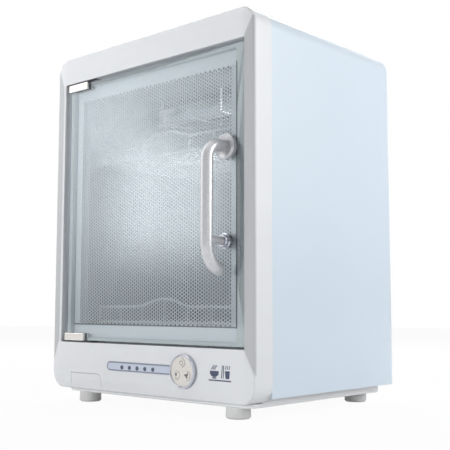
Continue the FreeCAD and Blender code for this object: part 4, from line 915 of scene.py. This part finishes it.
class CABINET_OT_strip_outline(bpy.types.Operator):
    """Print the dark outline round the control strip."""

    bl_idname = "cabinet.strip_outline"
    bl_label = "Strip outline"

    def execute(self, context):
        low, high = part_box("control_strip")
        edges = low.x / MM, high.x / MM - 1.2, low.z / MM, high.z / MM
        outline = Print(["control_strip"], context.scene.cabinet_sizes.print_depth)
        outline.band(strip_edge(*edges, 0.25), strip_edge(*edges, 1.9))
        material = printed_film("outline ink", context.scene.cabinet_colours.outline)
        dress(outline.finish("strip_outline"), "strip_outline", "cabinet", material)
        return {"FINISHED"}


class CABINET_OT_key_marks(bpy.types.Operator):
    """Print a pictogram on each key: a switch sign, a drop and a fan."""

    bl_idname = "cabinet.key_marks"
    bl_label = "Key pictograms"

    def execute(self, context):
        depth = context.scene.cabinet_sizes.print_depth
        material = printed_film("mark ink", context.scene.cabinet_colours.mark)

        x, z = middle_mm("power_key")
        power = Print(["power_key"], depth)
        power.arc((x, z), 2.5, 3.3, start=125, turn=290)
        power.bar((x, z + 0.8), (x, z + 3.9), 0.8)
        dress(power.finish("power_mark"), "power_mark", "power_button", material)

        x, z = middle_mm("drying_key")
        drying = Print(["drying_key"], depth)
        drying.leaf((x, z + 3.9), -90, 5.6, 3.6)
        drying.bar((x - 2.4, z - 3.2), (x + 2.4, z - 3.2), 0.7)
        dress(drying.finish("drying_mark"), "drying_mark", "drying_button", material)

        x, z = middle_mm("warming_key")
        warming = Print(["warming_key"], depth)
        for blade in range(3):
            warming.leaf((x, z + 0.4), 30 + 120 * blade, 4.0, 3.0, bend=24)
        warming.arc((x, z + 0.4), 0.0, 0.8, steps=16)
        dress(warming.finish("warming_mark"), "warming_mark", "warming_button", material)
        return {"FINISHED"}


class CABINET_OT_tableware_mark(bpy.types.Operator):
    """Print a pictogram of a bowl, chopsticks and a cup on the lower right of the front."""

    bl_idname = "cabinet.tableware_mark"
    bl_label = "Tableware pictogram"

    def execute(self, context):
        sign = Print(["front_bezel"], context.scene.cabinet_sizes.print_depth)
        # Ends and height of the line under the pictogram, in millimetres on the front plane
        left, right, base = 121.0, 157.0, 46.0
        sign.bar((left, base + 0.8), (right, base + 0.8), 1.6, steps=24)

        bowl = (left + 9.0, base + 12.0)
        half, deep = 8.0, 7.4
        rim = [(bowl[0] - half + 2 * half * step / 20, bowl[1]) for step in range(21)]
        belly = [(x, z - deep * math.sqrt(max(0.0, 1 - ((x - bowl[0]) / half) ** 2))) for x, z in rim]
        sign.band(rim[1:-1], belly[1:-1])
        sign.bar((bowl[0] - 3.4, base + 3.6), (bowl[0] + 3.4, base + 3.6), 1.6)
        for lean in (-5.0, -2.4, 0.2):
            sign.bar((bowl[0] + lean, bowl[1] + 1.4), (bowl[0] + lean + 4.2, bowl[1] + 6.8), 1.2)

        sign.bar((left + 20.5, base + 3.6), (left + 22.3, base + 18.8), 1.3)
        sign.bar((left + 23.4, base + 3.6), (left + 24.2, base + 18.8), 1.3)

        cup = (left + 30.2, base + 8.0)
        sign.band([(cup[0] - 3.9, cup[1] + 4.6), (cup[0] - 3.0, cup[1] - 4.6)],
                  [(cup[0] + 3.9, cup[1] + 4.6), (cup[0] + 3.0, cup[1] - 4.6)])
        for steam in (-2.4, 0.4, 3.2):
            sign.bar((cup[0] + steam - 0.6, cup[1] + 6.2), (cup[0] + steam + 0.6, cup[1] + 10.8), 1.1)

        material = printed_film("mark ink on the front", context.scene.cabinet_colours.print)
        dress(sign.finish("tableware_mark"), "tableware_mark", "cabinet", material)
        return {"FINISHED"}


# ---- stage ----

def lamp(name, power, place, target, size, mirrored, spread):
    """Square lamp that faces a point."""
    light = bpy.data.lights.new(name, "AREA")
    light.shape = "SQUARE"
    light.size = size
    light.energy = power
    light.spread = math.radians(spread)
    holder = bpy.data.objects.new(name, light)
    holder.location = place
    holder.rotation_euler = (Vector(target) - Vector(place)).to_track_quat("-Z", "Y").to_euler()
    holder.visible_camera = False
    holder.visible_glossy = mirrored
    bpy.context.scene.collection.objects.link(holder)


def paper_floor():
    """Pale floor that shows white to the eye and still takes the shadow."""
    paint = Paint("pale floor")
    rays = paint.node("ShaderNodeLightPath", out="Is Camera Ray")
    glossy = paint.node("ShaderNodeLightPath", out="Is Glossy Ray")
    through = paint.node("ShaderNodeLightPath", out="Is Transmission Ray")
    tooth = paint.noise(40.0)
    seen = (rays + glossy + through).clamped()
    shade = paint.blend(tooth, (0.79, 0.79, 0.79, 1), (0.81, 0.81, 0.81, 1))
    matt = paint.surface(Base_Color=shade, Roughness=0.9)
    white = paint.node("ShaderNodeEmission", {}, {"Color": (1, 1, 1, 1), "Strength": 1.0})
    return paint.finish(paint.node("ShaderNodeMixShader", {}, [seen * FLOOR_WHITE, matt, white]))


def room(level):
    """Even light for matt surfaces, white for the eye, and soft walls with a dimmer front for mirrors."""
    paint = Paint("studio", "World")
    # A direction is a vector of length 1, so the limits below are cosines and sines of angles
    direction = paint.node("ShaderNodeTexCoord", out="Generated")
    across = paint.node("ShaderNodeSeparateXYZ", values=[direction], out="X")
    height = paint.node("ShaderNodeSeparateXYZ", values=[direction], out="Z")
    ahead = paint.node("ShaderNodeVectorMath", {"operation": "DOT_PRODUCT"},
                       [direction, FRONT_SIDE], out="Value")
    top = paint.step(across, -0.5, 0.3, LEFT_WALL, RIGHT_WALL)
    wall = WALL_FOOT + (top - WALL_FOOT) * paint.step(height, -0.04, 0.17)
    dimming = paint.step(ahead, 0.40, 0.74)
    panel = (paint.step((ahead - SOFTBOX_AHEAD).size(), 0.02, 0.08, 1.0, 0.0)
             * paint.step((height - SOFTBOX_HEIGHT).size(), 0.02, 0.1, 1.0, 0.0))
    mirrored = wall + (FRONT_LEVEL - wall) * dimming + SOFTBOX * panel
    glossy = paint.node("ShaderNodeLightPath", out="Is Glossy Ray")
    eye = paint.node("ShaderNodeLightPath", out="Is Camera Ray")
    other = level + (mirrored - level) * glossy
    strength = other + (1.0 - other) * eye
    return paint.finish(paint.node("ShaderNodeBackground", {}, {"Color": (1, 1, 1, 1), "Strength": strength}))


class CABINET_OT_stage(bpy.types.Operator):
    """Set the floor, the light and the camera."""

    bl_idname = "cabinet.stage"
    bl_label = "Stage"

    def execute(self, context):
        scene = context.scene
        stage = scene.cabinet_stage
        scene.world = room(stage.room_level)
        scene.view_settings.view_transform = "Standard"

        form = bmesh.new()
        bmesh.ops.create_grid(form, x_segments=1, y_segments=1, size=FLOOR_REACH)
        floor = made_of(form, "floor")
        floor.data.materials.append(paper_floor())

        for name, layout in LAMPS.items():
            lamp(f"{name}_lamp", getattr(stage, f"{name}_power"), *layout)

        camera = bpy.data.cameras.new("camera")
        camera.lens = stage.lens
        camera.sensor_width = 36.0
        camera.clip_start = 0.05
        eye = bpy.data.objects.new("camera", camera)
        ahead = Vector((-math.sin(stage.heading) * math.cos(stage.lift),
                        math.cos(stage.heading) * math.cos(stage.lift), math.sin(stage.lift)))
        turn = ahead.to_track_quat("-Z", "Y").to_matrix().to_4x4() @ Matrix.Rotation(stage.roll, 4, "Z")
        eye.matrix_world = Matrix.Translation(stage.eye) @ turn
        scene.collection.objects.link(eye)
        scene.camera = eye
        return {"FINISHED"}


# ---- add-on ----

OPERATORS = (CABINET_OT_finishes, CABINET_OT_screen, CABINET_OT_screws, CABINET_OT_strip_outline,
             CABINET_OT_key_marks, CABINET_OT_tableware_mark, CABINET_OT_stage)
GROUPS = (
    ("cabinet_sizes", CabinetSizes), ("cabinet_colours", CabinetColours), ("cabinet_stage", CabinetStage))


class CABINET_PT_panel(bpy.types.Panel):
    """Buttons for every piece, with the sizes and colours."""

    bl_idname = "CABINET_PT_panel"
    bl_label = "Sterilizer cabinet"
    bl_space_type = "VIEW_3D"
    bl_region_type = "UI"
    bl_category = "Cabinet"

    def draw(self, context):
        for holder, _ in GROUPS:
            group = getattr(context.scene, holder)
            for name in group.__annotations__:
                self.layout.prop(group, name)
        for operator in OPERATORS:
            self.layout.operator(operator.bl_idname)


CLASSES = (*(group for _, group in GROUPS), *OPERATORS, CABINET_PT_panel)


def register():
    for cls in CLASSES:
        bpy.utils.register_class(cls)
    for name, group in GROUPS:
        setattr(bpy.types.Scene, name, bpy.props.PointerProperty(type=group))


def unregister():
    for name, _ in GROUPS:
        delattr(bpy.types.Scene, name)
    for cls in reversed(CLASSES):
        bpy.utils.unregister_class(cls)


def main():
    register()
    for operator in OPERATORS:
        family, name = operator.bl_idname.split(".")
        getattr(getattr(bpy.ops, family), name)()


if __name__ == "__main__":
    main()
